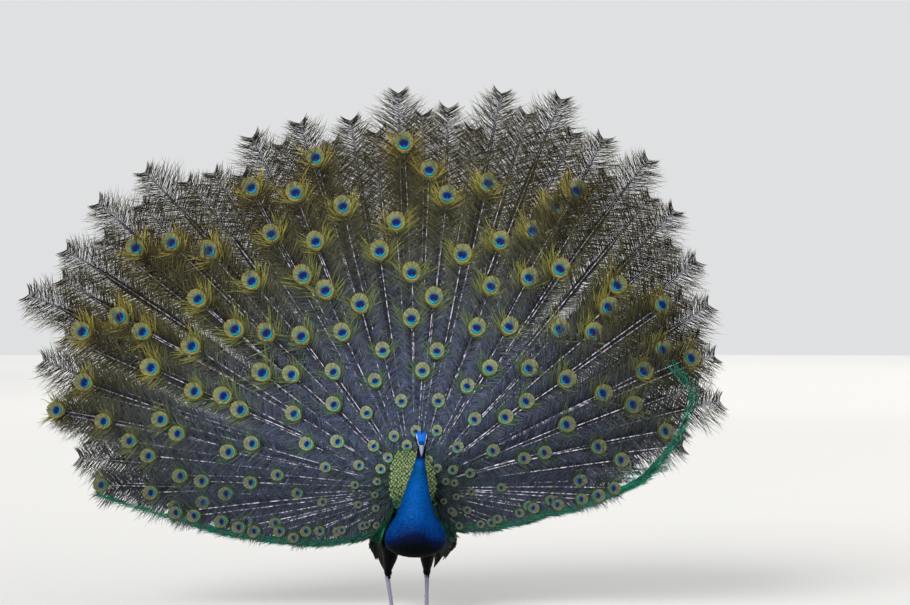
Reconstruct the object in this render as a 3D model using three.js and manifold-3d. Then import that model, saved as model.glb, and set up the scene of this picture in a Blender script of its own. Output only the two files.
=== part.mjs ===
// A life-size male Indian peafowl standing in full display, as a still museum model.
// Millimetres, +Z up. The bird faces -Y, its left side is towards +X, and its feet are at Z 0.
// The origin is under the middle of the whole bird, fan included.
import * as THREE from "three";
import Module from "manifold-3d";

const wasm = await Module();
wasm.setup();

// Driving dimensions, in millimetres unless a name says degrees.
const cutGap = 0.4;            // between two pieces parted from the same flesh
const cutReach = 900;          // a cutting box is larger than the whole body
const hiddenGap = 0.5;         // between a piece and the flesh it lies on
const fanRoot = new THREE.Vector3(-7, 130, 412);
const fanLean = THREE.MathUtils.degToRad(6);   // shafts start out leaning back by this much
const fanShaft = 1450;         // the length over which a shaft makes its whole bend
const fanBend = { top: 22, left: 34, right: 62 };   // degrees, forward
const fanPitch = 7.5;          // degrees from one rim feather to the next
const fanFrom = -148.5;        // degrees from straight up, + is towards +X
const fanInner = 58;
const fanThick = { root: 2.4, rim: 1.0, thinFrom: 900 };
const tailRoot = new THREE.Vector3(-7, 158, 404);
const tailReach = 430;
const tailFeathers = 8;        // on each side
const headAt = new THREE.Vector3(20, -85, 588);
const headPitch = THREE.MathUtils.degToRad(50);
const eyeRadius = 6.2;
const hock = { left: new THREE.Vector3(36, 50, 128), right: new THREE.Vector3(-96, 12, 128) };
const ankle = { left: new THREE.Vector3(35, 38, 12), right: new THREE.Vector3(-79, -2, 12) };
const toeLength = { inner: 52, middle: 72, outer: 56, hind: 24 };

const hockGap = 3.4;
const hip = { left: new THREE.Vector3(38, -6, 262), right: new THREE.Vector3(-74, -14, 262) };
const footHeading = { left: 6, right: -8 };    // degrees from straight ahead, + towards +X
const toeSpread = { inner: -32, middle: 0, outer: 34, hind: 176 };
const eyeOut = 15.2;
const eyeForward = 7;
const eyeUp = 2.5;
const saddleThick = 14;
const saddleShift = -11;       // the back is turned a little towards -X
const wing = { front: -66, back: 114, thick: 26, edge: 3, flights: 6 };
const tailInner = 46;
const tailTip = 16;
const tailSpread = 78;         // degrees to each side
const tailLean = 0.07;
const tailThick = 1.4;
const lowEdge = { left: -95, right: 83 };      // degrees; past these the rim is sword feathers
const rimDepth = { high: 150, low: 60, root: 10 };   // root: how far a notch stops short of it
const rimWave = { size: 28, low: 0.3, rate: 2.4 };   // one rim feather is longer than the next
const bodySides = 18;
const neckSides = 12;
const legSides = 12;
const sides = ["left", "right"];
const outward = { left: 1, right: -1 };
const fanSectors = {
  sword_feathers_right: 7, train_right: 5, train_upper_right: 5, train_top: 5,
  train_upper_left: 5, train_left: 4, sword_feathers_left: 7,
};

// Shaft length of the rim feathers by their angle from straight up, in degrees.
const reachKnots = [
  [-150, 195], [-138, 228], [-128, 300], [-114, 460], [-107, 590], [-98, 900], [-90, 1110],
  [-80, 1240], [-70, 1400], [-62, 1500], [-45, 1500], [-33, 1360], [-15, 1350], [8, 1370],
  [18, 1465], [38, 1400], [48, 1350], [58, 1215], [70, 1200], [76, 1060], [87, 830], [92, 670],
  [101, 470], [111, 355], [125, 250], [137, 205],
];

const shades = {
  cobalt: ["#12409a", 0.45], black: ["#0c1414", 0.6],
  saddle: ["#7d8a35", 0.5], train: ["#4c4a34", 0.7], emerald: ["#11604a", 0.5],
  chestnut: ["#5f4632", 0.7], fluff: ["#4d463c", 0.9], leg: ["#8d8590", 0.6],
  bill: ["#c4bccb", 0.4], eye: ["#1a0f0a", 0.1], crest: ["#142c52", 0.6],
};

function lerp(a, b, t) {
  return a + (b - a) * t;
}

function interpolate(knots, x) {
  let i = 0;
  while (i < knots.length - 2 && x > knots[i + 1][0]) i += 1;
  const [x0, y0] = knots[i];
  const [x1, y1] = knots[i + 1];
  return lerp(y0, y1, (x - x0) / (x1 - x0));
}

// A closed mesh from points and faces, turned so that its faces point out.
function closedMesh(points, faces) {
  let volume = 0;
  for (const [a, b, c] of faces) {
    volume += points[a].dot(points[b].clone().cross(points[c]));
  }
  const index = [];
  for (const [a, b, c] of faces) {
    if (volume > 0) index.push(a, b, c);
    else index.push(a, c, b);
  }
  const geometry = new THREE.BufferGeometry();
  const flat = points.flatMap((p) => [p.x, p.y, p.z]);
  geometry.setAttribute("position", new THREE.Float32BufferAttribute(flat, 3));
  geometry.setIndex(index);
  return geometry;
}

function toSolid(geometry) {
  return new wasm.Manifold(new wasm.Mesh({
    numProp: 3,
    vertProperties: new Float32Array(geometry.getAttribute("position").array),
    triVerts: new Uint32Array(geometry.getIndex().array),
  }));
}

function toGeometry(solid) {
  const mesh = solid.getMesh();
  const geometry = new THREE.BufferGeometry();
  geometry.setAttribute("position", new THREE.Float32BufferAttribute(mesh.vertProperties, 3));
  geometry.setIndex([...mesh.triVerts]);
  return geometry;
}

// A skin stretched over rings of points, closed at both ends.
function loft(rings) {
  const around = rings[0].length;
  const points = rings.flat();
  const faces = [];
  for (let r = 0; r < rings.length - 1; r += 1) {
    for (let i = 0; i < around; i += 1) {
      const a = r * around + i;
      const b = r * around + ((i + 1) % around);
      faces.push([a, b, b + around], [a, b + around, a + around]);
    }
  }
  for (const end of [0, rings.length - 1]) {
    const middle = new THREE.Vector3();
    for (const point of rings[end]) middle.addScaledVector(point, 1 / around);
    points.push(middle);
    for (let i = 0; i < around; i += 1) {
      const a = end * around + i;
      const b = end * around + ((i + 1) % around);
      if (end === 0) faces.push([b, a, points.length - 1]);
      else faces.push([a, b, points.length - 1]);
    }
  }
  return closedMesh(points, faces);
}

// A thin solid between two surfaces, each a grid of columns u and rows v.
function slab(columns, rows, pointAt) {
  const points = [];
  for (const side of [0, 1]) {
    for (let u = 0; u < columns; u += 1) {
      for (let v = 0; v < rows; v += 1) points.push(pointAt(u, v, side));
    }
  }
  const id = (u, v, side) => side * columns * rows + u * rows + v;
  const faces = [];
  const quad = (a, b, c, d) => faces.push([a, b, c], [a, c, d]);
  for (let u = 0; u < columns - 1; u += 1) {
    for (let v = 0; v < rows - 1; v += 1) {
      quad(id(u, v, 0), id(u + 1, v, 0), id(u + 1, v + 1, 0), id(u, v + 1, 0));
      quad(id(u, v, 1), id(u, v + 1, 1), id(u + 1, v + 1, 1), id(u + 1, v, 1));
    }
  }
  for (let u = 0; u < columns - 1; u += 1) {
    quad(id(u, 0, 1), id(u + 1, 0, 1), id(u + 1, 0, 0), id(u, 0, 0));
    quad(id(u, rows - 1, 0), id(u + 1, rows - 1, 0), id(u + 1, rows - 1, 1), id(u, rows - 1, 1));
  }
  for (let v = 0; v < rows - 1; v += 1) {
    quad(id(0, v, 0), id(0, v + 1, 0), id(0, v + 1, 1), id(0, v, 1));
    quad(id(columns - 1, v, 1), id(columns - 1, v + 1, 1),
      id(columns - 1, v + 1, 0), id(columns - 1, v, 0));
  }
  return closedMesh(points, faces);
}

// Stations along a body, each {at, width, rise, drop, peak}, with softly curved ones between.
function refine(stations, steps) {
  const fine = [];
  const soft = (key, i, t) => {
    const pick = (k) => stations[THREE.MathUtils.clamp(k, 0, stations.length - 1)][key];
    const [a, b, c, d] = [pick(i - 1), pick(i), pick(i + 1), pick(i + 2)];
    const bend = 2 * b + (c - a) * t + (2 * a - 5 * b + 4 * c - d) * t * t;
    return 0.5 * (bend + (3 * b - a - 3 * c + d) * t * t * t);
  };
  for (let i = 0; i < stations.length - 1; i += 1) {
    for (let k = 0; k < steps; k += 1) {
      const station = {};
      for (const key of Object.keys(stations[0])) station[key] = soft(key, i, k / steps);
      fine.push(station);
    }
  }
  fine.push(stations[stations.length - 1]);
  return fine;
}

// One ring: width to each side, rise along up, drop against it. A peak under 2 narrows the top.
function ring(at, right, up, station, around, grow) {
  const points = [];
  for (let i = 0; i < around; i += 1) {
    const turn = (2 * Math.PI * i) / around;
    const c = Math.cos(turn);
    const s = Math.sin(turn);
    const power = s > 0 ? 2 / station.peak : 1;
    const across = (station.width + grow) * Math.sign(c) * Math.abs(c) ** power;
    const height = s > 0 ? (station.rise + grow) * s ** power : (station.drop + grow) * s;
    points.push(at.clone().addScaledVector(right, across).addScaledVector(up, height));
  }
  return points;
}

const rightward = new THREE.Vector3(1, 0, 0);
const upward = new THREE.Vector3(0, 0, 1);
const backward = new THREE.Vector3(0, 1, 0);

// Trunk, from the breast to the rump. y and z place the widest line of each section.
function trunkLoft(grow) {
  const stations = refine([
    { y: -168, z: 276, width: 10, rise: 12, drop: 10, peak: 1.9 },
    { y: -158, z: 268, width: 48, rise: 62, drop: 36, peak: 1.7 },
    { y: -125, z: 258, width: 90, rise: 108, drop: 54, peak: 1.5 },
    { y: -80, z: 254, width: 104, rise: 126, drop: 57, peak: 1.5 },
    { y: -30, z: 262, width: 96, rise: 118, drop: 62, peak: 1.7 },
    { y: 30, z: 282, width: 82, rise: 112, drop: 70, peak: 1.9 },
    { y: 85, z: 322, width: 68, rise: 98, drop: 72, peak: 2 },
    { y: 130, z: 362, width: 52, rise: 82, drop: 62, peak: 2 },
    { y: 168, z: 388, width: 38, rise: 52, drop: 40, peak: 2 },
    { y: 186, z: 398, width: 12, rise: 16, drop: 12, peak: 2 },
  ], 2);
  return loft(stations.map((s) =>
    ring(new THREE.Vector3(0, s.y, s.z), rightward, upward, s, bodySides, grow)));
}

// Neck, from inside the trunk to inside the head. rise is the depth behind the middle line.
function neckLoft(grow) {
  const stations = refine([
    { x: 0, y: -84, z: 300, width: 84, rise: 50, drop: 70, peak: 2 },
    { x: 1, y: -88, z: 328, width: 70, rise: 56, drop: 66, peak: 2 },
    { x: 2, y: -88, z: 368, width: 56, rise: 50, drop: 56, peak: 2 },
    { x: 4.5, y: -84, z: 419, width: 42, rise: 39, drop: 41, peak: 2 },
    { x: 9, y: -75, z: 459, width: 32, rise: 30, drop: 31, peak: 2 },
    { x: 14, y: -64, z: 512, width: 19, rise: 20, drop: 20, peak: 2 },
    { x: 19, y: -63, z: 550, width: 16, rise: 16.5, drop: 17.5, peak: 2 },
    { x: 20, y: -68, z: 576, width: 14.5, rise: 14, drop: 15, peak: 2 },
    { x: 20, y: -75, z: 594, width: 9, rise: 9, drop: 9, peak: 2 },
  ], 2);
  return loft(stations.map((s) =>
    ring(new THREE.Vector3(s.x, s.y, s.z), rightward, backward, s, neckSides, grow)));
}

// The head's own axes: along the bill, and out of the crown.
const headForward = new THREE.Vector3(0, -Math.cos(headPitch), -Math.sin(headPitch));
const headCrown = new THREE.Vector3(0, -Math.sin(headPitch), Math.cos(headPitch));

function onHead(across, along, out) {
  const point = headAt.clone().addScaledVector(rightward, across);
  return point.addScaledVector(headForward, along).addScaledVector(headCrown, out);
}

function headLoft(grow) {
  const stations = refine([
    { along: -33, width: 4, rise: 5, drop: 5, peak: 2 },
    { along: -29, width: 12, rise: 12, drop: 12, peak: 2 },
    { along: -17, width: 19.5, rise: 19, drop: 18, peak: 2 },
    { along: -3, width: 21.5, rise: 21, drop: 19, peak: 2 },
    { along: 11, width: 19.5, rise: 18, drop: 17, peak: 2 },
    { along: 22, width: 15, rise: 13.5, drop: 13, peak: 2 },
    { along: 31, width: 10, rise: 9.5, drop: 9, peak: 2 },
    { along: 35, width: 5, rise: 5, drop: 5, peak: 2 },
  ], 2);
  return loft(stations.map((s) =>
    ring(onHead(0, s.along, 0), rightward, headCrown, s, neckSides, grow)));
}

// Feathered thighs, from inside the trunk down to just above the hock.
function thighLoft(side, grow) {
  const foot = hock[side];
  const stations = refine([
    { t: 0, width: 40, rise: 62, drop: 56, peak: 2 },
    { t: 0.45, width: 29, rise: 44, drop: 40, peak: 2 },
    { t: 0.8, width: 17, rise: 22, drop: 20, peak: 2 },
    { t: 1, width: 9.5, rise: 10, drop: 10, peak: 2 },
  ], 2);
  return loft(stations.map((s) => {
    const x = lerp(hip[side].x, foot.x, s.t);
    const y = lerp(hip[side].y, foot.y, s.t ** 1.5);
    const z = lerp(hip[side].z, foot.z + hockGap, s.t);
    return ring(new THREE.Vector3(x, y, z), rightward, backward, s, legSides, grow);
  }));
}

// A cutting box: it stands on a tilted plane through a point, and reaches out along its normal.
function cutter(at, normal, size, lower) {
  const middle = at.clone().addScaledVector(normal, size / 2 - lower);
  const turn = new THREE.Quaternion().setFromUnitVectors(upward, normal);
  const box = new THREE.BoxGeometry(size, size, size);
  box.applyQuaternion(turn);
  box.translate(middle.x, middle.y, middle.z);
  return toSolid(welded(box));
}

const bird = new THREE.Group();

function addPiece(name, geometry, shade) {
  const [color, roughness] = shades[shade];
  const material = new THREE.MeshStandardMaterial({ color, roughness, metalness: 0 });
  const piece = new THREE.Mesh(geometry, material);
  piece.name = name;
  bird.add(piece);
}

// Merges the doubled points of a ball or box, so that it is one closed mesh.
function welded(geometry) {
  const position = geometry.getAttribute("position");
  const points = [];
  const seen = new Map();
  const index = [...geometry.getIndex().array].map((i) => {
    const point = new THREE.Vector3().fromBufferAttribute(position, i);
    const key = point.toArray().map((v) => Math.round(v * 1000)).join(" ");
    if (!seen.has(key)) seen.set(key, points.push(point) - 1);
    return seen.get(key);
  });
  const faces = [];
  for (let i = 0; i < index.length; i += 3) {
    const face = index.slice(i, i + 3);
    if (new Set(face).size === 3) faces.push(face);
  }
  return closedMesh(points, faces);
}

// Head and neck with the trunk: modelled whole, then parted with thin cuts.
const torso = toSolid(trunkLoft(0)).add(toSolid(neckLoft(0))).add(toSolid(headLoft(0)));
const torsoRoom = toSolid(trunkLoft(hiddenGap))
  .add(toSolid(neckLoft(hiddenGap)))
  .add(toSolid(headLoft(hiddenGap)));
const cuts = [
  { at: onHead(0, -16, -13), normal: new THREE.Vector3(0, -0.62, 0.78) },
  { at: new THREE.Vector3(12, -78, 446), normal: new THREE.Vector3(0, 0, 1) },
  { at: new THREE.Vector3(0, -90, 358), normal: new THREE.Vector3(0, -0.49, 0.87) },
];
for (const cut of cuts) {
  cut.normal.normalize();
  cut.above = cutter(cut.at, cut.normal, cutReach, 0);
  cut.room = cutter(cut.at, cut.normal, cutReach, cutGap);
}

const eyes = {};
let head = torso.intersect(cuts[0].above);
for (const side of sides) {
  const at = onHead(outward[side] * eyeOut, eyeForward, eyeUp);
  const ball = (radius) => {
    const sphere = new THREE.SphereGeometry(radius, 10, 8).translate(at.x, at.y, at.z);
    return welded(sphere);
  };
  eyes[side] = ball(eyeRadius);
  head = head.subtract(toSolid(ball(eyeRadius + hiddenGap)));
}
addPiece("head", toGeometry(head), "cobalt");
for (const side of sides) addPiece(`eye_${side}`, eyes[side], "eye");

const neckUpper = torso.intersect(cuts[1].above).subtract(cuts[0].room);
const neckLower = torso.intersect(cuts[2].above).subtract(cuts[1].room);
addPiece("neck_upper", toGeometry(neckUpper), "cobalt");
addPiece("neck_lower", toGeometry(neckLower), "cobalt");
const trunk = torso.subtract(cuts[2].room).subtract(cuts[1].room);
addPiece("trunk", toGeometry(trunk), "cobalt");

// Bill: two mandibles that run from inside the face to the hooked tip.
const mandibles = {
  upper: [
    { along: 20, out: 0, width: 9.8, rise: 9, drop: 0.2, peak: 2 },
    { along: 33, out: -0.5, width: 8.8, rise: 7.6, drop: 0.2, peak: 2 },
    { along: 46, out: -1.2, width: 6.6, rise: 6.4, drop: 0.2, peak: 2 },
    { along: 58, out: -2.2, width: 4, rise: 4.6, drop: 0.2, peak: 2 },
    { along: 66, out: -5.4, width: 1.2, rise: 3.6, drop: 0.2, peak: 2 },
  ],
  lower: [
    { along: 20, out: -0.8, width: 9, rise: 0.2, drop: 6, peak: 2 },
    { along: 33, out: -1.3, width: 8, rise: 0.2, drop: 4.6, peak: 2 },
    { along: 46, out: -2, width: 5.8, rise: 0.2, drop: 3.4, peak: 2 },
    { along: 58, out: -3.2, width: 2.6, rise: 0.2, drop: 2, peak: 2 },
  ],
};
for (const [name, stations] of Object.entries(mandibles)) {
  const rings = stations.map((s) =>
    ring(onHead(0, s.along, s.out), rightward, headCrown, s, 10, 0));
  addPiece(`bill_${name}`, toGeometry(toSolid(loft(rings)).subtract(torsoRoom)), "bill");
}

// Crest: an upright fan of bare shafts with small tufted tips, one behind the other.
const crestFeathers = 10;
const crest = { length: 58, tuft: 6, thick: 1.2, front: -14, back: 48 };   // angles from up
const crestRoot = onHead(0, -8, 19);
const crestFan = slab(crestFeathers * 2 + 1, 2, (u, v, side) => {
  const turn = THREE.MathUtils.degToRad(lerp(crest.front, crest.back, u / (crestFeathers * 2)));
  const tip = crest.length + (u % 2 === 1 ? crest.tuft : 0);
  const along = lerp(4, tip, v);
  const x = crestRoot.x + (side - 0.5) * crest.thick;
  return new THREE.Vector3(
    x,
    crestRoot.y + along * Math.sin(turn),
    crestRoot.z + along * Math.cos(turn),
  );
});
addPiece("crest", toGeometry(toSolid(crestFan).subtract(torsoRoom)), "crest");

// Legs: feathered thighs, bare scaled shanks with a spur, and flat-soled toes with claws.
const trunkRoom = toSolid(trunkLoft(cutGap));
for (const side of sides) {
  const thigh = toSolid(thighLoft(side, 0)).subtract(trunkRoom);
  addPiece(`thigh_${side}`, toGeometry(thigh), "black");
}

function tube(from, to, stations, sidesAround) {
  const along = to.clone().sub(from);
  const right = new THREE.Vector3().crossVectors(along, backward).normalize();
  const up = new THREE.Vector3().crossVectors(right, along).normalize();
  return loft(stations.map((s) => {
    const at = from.clone().addScaledVector(along, s.t);
    return ring(at, right, up, { ...s, peak: 2 }, sidesAround, 0);
  }));
}

for (const side of sides) {
  const top = hock[side];
  const bottom = ankle[side].clone().setZ(ankle[side].z + 3);
  const shank = toSolid(tube(top, bottom, [
    { t: 0, width: 8.6, rise: 9.8, drop: 9.8 },
    { t: 0.08, width: 9.4, rise: 10.8, drop: 10.4 },
    { t: 0.22, width: 7.8, rise: 9, drop: 8.2 },
    { t: 0.55, width: 7, rise: 8.2, drop: 7.4 },
    { t: 0.88, width: 7.2, rise: 8.2, drop: 7.6 },
    { t: 1, width: 8, rise: 8.6, drop: 8.6 },
  ], 10));
  const spurFrom = top.clone().lerp(bottom, 0.64);
  const spurTo = spurFrom.clone().add(new THREE.Vector3(-outward[side] * 9, 22, -2));
  const spur = toSolid(tube(spurFrom, spurTo, [
    { t: 0, width: 4.2, rise: 4.2, drop: 4.2 },
    { t: 0.6, width: 2.8, rise: 2.8, drop: 2.8 },
    { t: 1, width: 0.8, rise: 0.8, drop: 0.8 },
  ], 8));
  addPiece(`shank_${side}`, toGeometry(shank.add(spur)), "leg");
}

// A toe lies flat on the floor; its last fifth is the claw, which dips to a point.
function toeLoft(from, turn, length) {
  const ahead = new THREE.Vector3(Math.sin(turn), -Math.cos(turn), 0);
  const right = new THREE.Vector3(Math.cos(turn), Math.sin(turn), 0);
  const stations = [
    { t: -0.1, z: 6, width: 5, rise: 6, drop: 6 },
    { t: 0.15, z: 5.4, width: 5.4, rise: 5.4, drop: 6 },
    { t: 0.45, z: 4.6, width: 4.6, rise: 4.6, drop: 5 },
    { t: 0.78, z: 4, width: 4, rise: 4, drop: 5 },
    { t: 0.84, z: 4.6, width: 2.6, rise: 3, drop: 2.6 },
    { t: 1, z: 2, width: 0.9, rise: 0.9, drop: 0.9 },
  ];
  return toSolid(loft(stations.map((s) => {
    const at = new THREE.Vector3(from.x, from.y, s.z).addScaledVector(ahead, s.t * length);
    const points = ring(at, right, upward, { ...s, peak: 2 }, 6, 0);
    for (const point of points) point.z = Math.max(point.z, 0);
    return points;
  })));
}

for (const side of sides) {
  const at = ankle[side];
  const pad = toSolid(loft([0, 5, 9, at.z + 1.2].map((z, i) => {
    const size = [8, 9.5, 8.5, 7.4][i];
    const station = { width: size, rise: size, drop: size, peak: 2 };
    return ring(new THREE.Vector3(at.x, at.y, z), rightward, backward, station, 10, 0);
  })));
  const heading = THREE.MathUtils.degToRad(footHeading[side]);
  let foot = pad;
  for (const [name, spread] of Object.entries(toeSpread)) {
    const turn = heading + THREE.MathUtils.degToRad(outward[side] * spread);
    foot = foot.add(toeLoft(at, turn, toeLength[name]));
  }
  addPiece(`foot_${side}`, toGeometry(foot), "leg");
}

// Saddle: the scaly shield that climbs from the back to the front of the fan.
const saddleRows = [
  { y: -20, z: 388, half: 48, droop: 50 },
  { y: 25, z: 412, half: 68, droop: 58 },
  { y: 68, z: 456, half: 80, droop: 46 },
  { y: 100, z: 508, half: 76, droop: 22 },
  { y: 114, z: 549, half: 50, droop: 12 },
];

function saddleSlab(extra) {
  const rows = refine(saddleRows, 2);
  const columns = 9;
  return slab(columns, rows.length, (u, v, side) => {
    const row = rows[v];
    const across = (2 * u) / (columns - 1) - 1;
    const thick = saddleThick * (1 - 0.6 * across * across) + 2 * extra;
    const lift = (0.5 - side) * thick;
    const slope = v / (rows.length - 1);
    return new THREE.Vector3(
      saddleShift + row.half * across,
      row.y + 6 * across * across - lift * slope,
      row.z - row.droop * across * across + lift * (1 - slope),
    );
  });
}
addPiece("saddle", toGeometry(toSolid(saddleSlab(0)).subtract(torsoRoom)), "saddle");

// Wings: folded and let down a little, with the flight feathers hanging below and behind.
const saddleRoom = toSolid(saddleSlab(hiddenGap));

function wingSlab(side) {
  const columns = 9;
  const rows = 6;
  return slab(columns, rows, (u, v, layer) => {
    const along = u / (columns - 1);
    const down = v / (rows - 1);
    const turn = THREE.MathUtils.degToRad(lerp(56, lerp(114, 108, along), down));
    const shoulder = Math.sin((Math.PI / 2) * Math.min(1, 0.35 + along * 2.2));
    const tail = 1 + 0.08 * along ** 2;
    const outer = lerp(100, 120, down) * lerp(0.8, 1, shoulder) * tail;
    const thick = wing.edge + wing.thick * Math.sin(Math.PI * down) * shoulder * (1 - along * 0.7);
    const reach = outer - layer * thick;
    return new THREE.Vector3(
      outward[side] * reach * Math.sin(turn),
      lerp(wing.front, wing.back, along),
      lerp(300, 306, along) + reach * Math.cos(turn),
    );
  });
}

// The folded flights lie side by side, the first one by the thigh and the last one far back.
const firstFlight = { left: { root: 108, end: 66 }, right: { root: 112, end: 104 } };
const lastFlight = {
  left: { root: 136, end: 60, low: 132 }, right: { root: 160, end: 114, low: 124 },
};

function flightSlab(side) {
  const perFeather = 3;
  const columns = wing.flights * perFeather + 1;
  return slab(columns, 3, (u, v, layer) => {
    const along = u / (columns - 1);
    const inFeather = (u % perFeather) / perFeather;
    const tip = 1 - 0.1 * Math.abs(2 * inFeather - 1) ** 2;
    const down = (v / 2) * tip;
    const first = firstFlight[side];
    const last = lastFlight[side];
    const root = new THREE.Vector3(lerp(first.root, last.root, along), lerp(0, 160, along),
      lerp(246, 236, along));
    const end = new THREE.Vector3(lerp(first.end, last.end, along), lerp(60, 214, along),
      lerp(196, last.low, along));
    const point = root.lerp(end, down);
    point.x += layer * lerp(3, 1.2, down) + 6 * Math.sin(Math.PI * down);
    point.x *= outward[side];
    return point;
  });
}

for (const side of sides) {
  const thighRoom = toSolid(thighLoft(side, hiddenGap));
  const cover = toSolid(wingSlab(side)).subtract(torsoRoom).subtract(saddleRoom)
    .subtract(thighRoom);
  const flight = toSolid(flightSlab(side)).subtract(thighRoom);
  addPiece(`wing_${side}`, toGeometry(cover), "black");
  addPiece(`flight_${side}`, toGeometry(flight), "chestnut");
}

// Loose grey-brown down under the tail.
const fluffLoft = loft(refine([
  { y: 74, z: 268, width: 22, rise: 14, drop: 16, peak: 2 },
  { y: 110, z: 286, width: 56, rise: 42, drop: 48, peak: 2 },
  { y: 150, z: 306, width: 60, rise: 50, drop: 56, peak: 2 },
  { y: 190, z: 320, width: 46, rise: 40, drop: 46, peak: 2 },
  { y: 222, z: 326, width: 14, rise: 14, drop: 16, peak: 2 },
], 2).map((s) => ring(new THREE.Vector3(-2, s.y, s.z), rightward, upward, s, legSides, 0)));
addPiece("undertail", toGeometry(toSolid(fluffLoft).subtract(torsoRoom)), "fluff");

// Tail: stiff brown feathers that prop the fan from behind.
function tailSlab(from, to) {
  const perFeather = 3;
  const columns = tailFeathers * perFeather + 1;
  return slab(columns, 3, (u, v, side) => {
    const inFeather = (u % perFeather) / perFeather;
    const round = inFeather === 0 ? 0 : tailTip;
    const turn = THREE.MathUtils.degToRad(lerp(from, to, u / (columns - 1)));
    const reach = tailReach * (1 - 0.1 * Math.abs(turn)) - tailTip + round;
    const along = lerp(tailInner, reach, v / 2);
    return new THREE.Vector3(
      tailRoot.x + along * Math.sin(turn),
      tailRoot.y + along * tailLean + (side - 0.5) * tailThick,
      tailRoot.z + along * Math.cos(turn),
    );
  });
}
for (const side of sides) {
  const slice = toSolid(tailSlab(outward[side] * 0.3, outward[side] * tailSpread));
  addPiece(`tail_${side}`, toGeometry(slice.subtract(torsoRoom)), "chestnut");
}

// The fan. A shaft leaves the root leaning back and bends forward along its whole length.
function bendAt(turn) {
  const wide = turn < 0 ? fanBend.left : fanBend.right;
  return THREE.MathUtils.degToRad(fanBend.top + (wide - fanBend.top) * Math.sin(turn) ** 2);
}

function fanPoint(turn, along, lift) {
  const bend = bendAt(turn);
  const slope = (bend * along) / fanShaft - fanLean;
  const out = (fanShaft / bend) * (Math.sin(slope) + Math.sin(fanLean));
  const forward = (fanShaft / bend) * (Math.cos(fanLean) - Math.cos(slope));
  return new THREE.Vector3(
    fanRoot.x + out * Math.sin(turn),
    fanRoot.y - forward + lift,
    fanRoot.z + out * Math.cos(turn),
  );
}

// The rim is a row of fishtails, each two points beside a notch, with single blades below.
const fishtailRim = [
  { turn: 0, drop: 1 },
  { turn: 0.3, drop: 0 },
  { turn: 0.5, drop: 0.42 },
  { turn: 0.7, drop: 0 },
];
const swordRim = [{ turn: 0, drop: 1 }, { turn: 0.6, drop: 0 }];
const fanRows = [0, 0.33, 0.68, 1];

function fanSector(first, count, rimParts) {
  const columns = count * rimParts.length + 1;
  return slab(columns, fanRows.length + 1, (u, v, side) => {
    const feather = first + Math.floor(u / rimParts.length);
    const rim = rimParts[u % rimParts.length];
    const degrees = fanFrom + fanPitch * (feather + rim.turn);
    const low = degrees < lowEdge.left || degrees > lowEdge.right;
    const depth = low ? rimDepth.low : rimDepth.high;
    const wave = rimWave.size * Math.sin(feather * rimWave.rate) * (low ? rimWave.low : 1);
    const reach = interpolate(reachKnots, degrees) + wave * (1 - rim.drop);
    const shoulder = reach - depth;
    const last = v === fanRows.length;
    const along = last
      ? reach - rim.drop * (depth - rimDepth.root)
      : lerp(fanInner, shoulder, fanRows[v]);
    const edge = (u === 0 ? 1 : 0) - (u === columns - 1 ? 1 : 0);
    const turn = THREE.MathUtils.degToRad(degrees) + (edge * cutGap) / along;
    const thick = lerp(fanThick.root, fanThick.rim, Math.min(1, along / fanThick.thinFrom));
    return fanPoint(turn, along, (side - 0.5) * thick);
  });
}

let firstFeather = 0;
for (const [name, count] of Object.entries(fanSectors)) {
  const isSword = name.startsWith("sword");
  const sector = fanSector(firstFeather, count, isSword ? swordRim : fishtailRim);
  const clear = toSolid(sector).subtract(torsoRoom);
  addPiece(name, toGeometry(clear), isSword ? "emerald" : "train");
  firstFeather += count;
}

// Moves the bird so that the middle of its box is over the origin.
const box = new THREE.Box3().setFromObject(bird);
const middle = box.getCenter(new THREE.Vector3());
bird.position.set(-middle.x, -middle.y, 0);

export default bird;
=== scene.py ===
import math
from functools import partial

import bmesh
import bpy
import numpy as np
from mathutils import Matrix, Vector
from mathutils.bvhtree import BVHTree


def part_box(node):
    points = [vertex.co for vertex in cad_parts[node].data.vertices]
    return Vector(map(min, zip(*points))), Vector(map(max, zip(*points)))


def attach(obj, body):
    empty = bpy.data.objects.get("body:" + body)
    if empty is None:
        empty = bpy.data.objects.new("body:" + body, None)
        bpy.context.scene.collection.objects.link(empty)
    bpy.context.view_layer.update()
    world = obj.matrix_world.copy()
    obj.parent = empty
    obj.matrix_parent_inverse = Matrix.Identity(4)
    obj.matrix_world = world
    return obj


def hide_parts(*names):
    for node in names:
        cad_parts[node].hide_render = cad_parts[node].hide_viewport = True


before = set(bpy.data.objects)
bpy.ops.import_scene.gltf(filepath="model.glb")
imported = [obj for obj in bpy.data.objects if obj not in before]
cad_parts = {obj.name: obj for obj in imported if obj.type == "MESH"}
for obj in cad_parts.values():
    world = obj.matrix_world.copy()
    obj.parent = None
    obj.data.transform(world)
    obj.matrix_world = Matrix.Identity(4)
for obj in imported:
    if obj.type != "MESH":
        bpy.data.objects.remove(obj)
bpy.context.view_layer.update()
dice = np.random.default_rng(11)   # the only source of chance, so every run is the same
print("peacock: frame loaded")

# Places are in the bird's own millimetres, from the point on the floor between its feet.
eyeCorners = [np.array(corner) for side in ("left", "right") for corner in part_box("eye_" + side)]
birdShift = sum(eyeCorners) / 4 - np.array([0.020, -0.09141, 0.584245])
outward = {"left": 1, "right": -1}


def birdAt(x, y, z):
    return np.array([x, y, z]) / 1000 + birdShift


def onBird(points):   # the other way round: places in the frame to the bird's millimetres
    return (points - birdShift) * 1000


def unit(v):
    return v / np.maximum(np.linalg.norm(v, axis=-1, keepdims=True), 1e-9)


def squareTo(out, way):   # the part of a way that is square to another, made one long
    return unit(way - out * np.sum(way * out, axis=-1, keepdims=True))


def blend(a, b, t):
    return a + (b - a) * t


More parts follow.
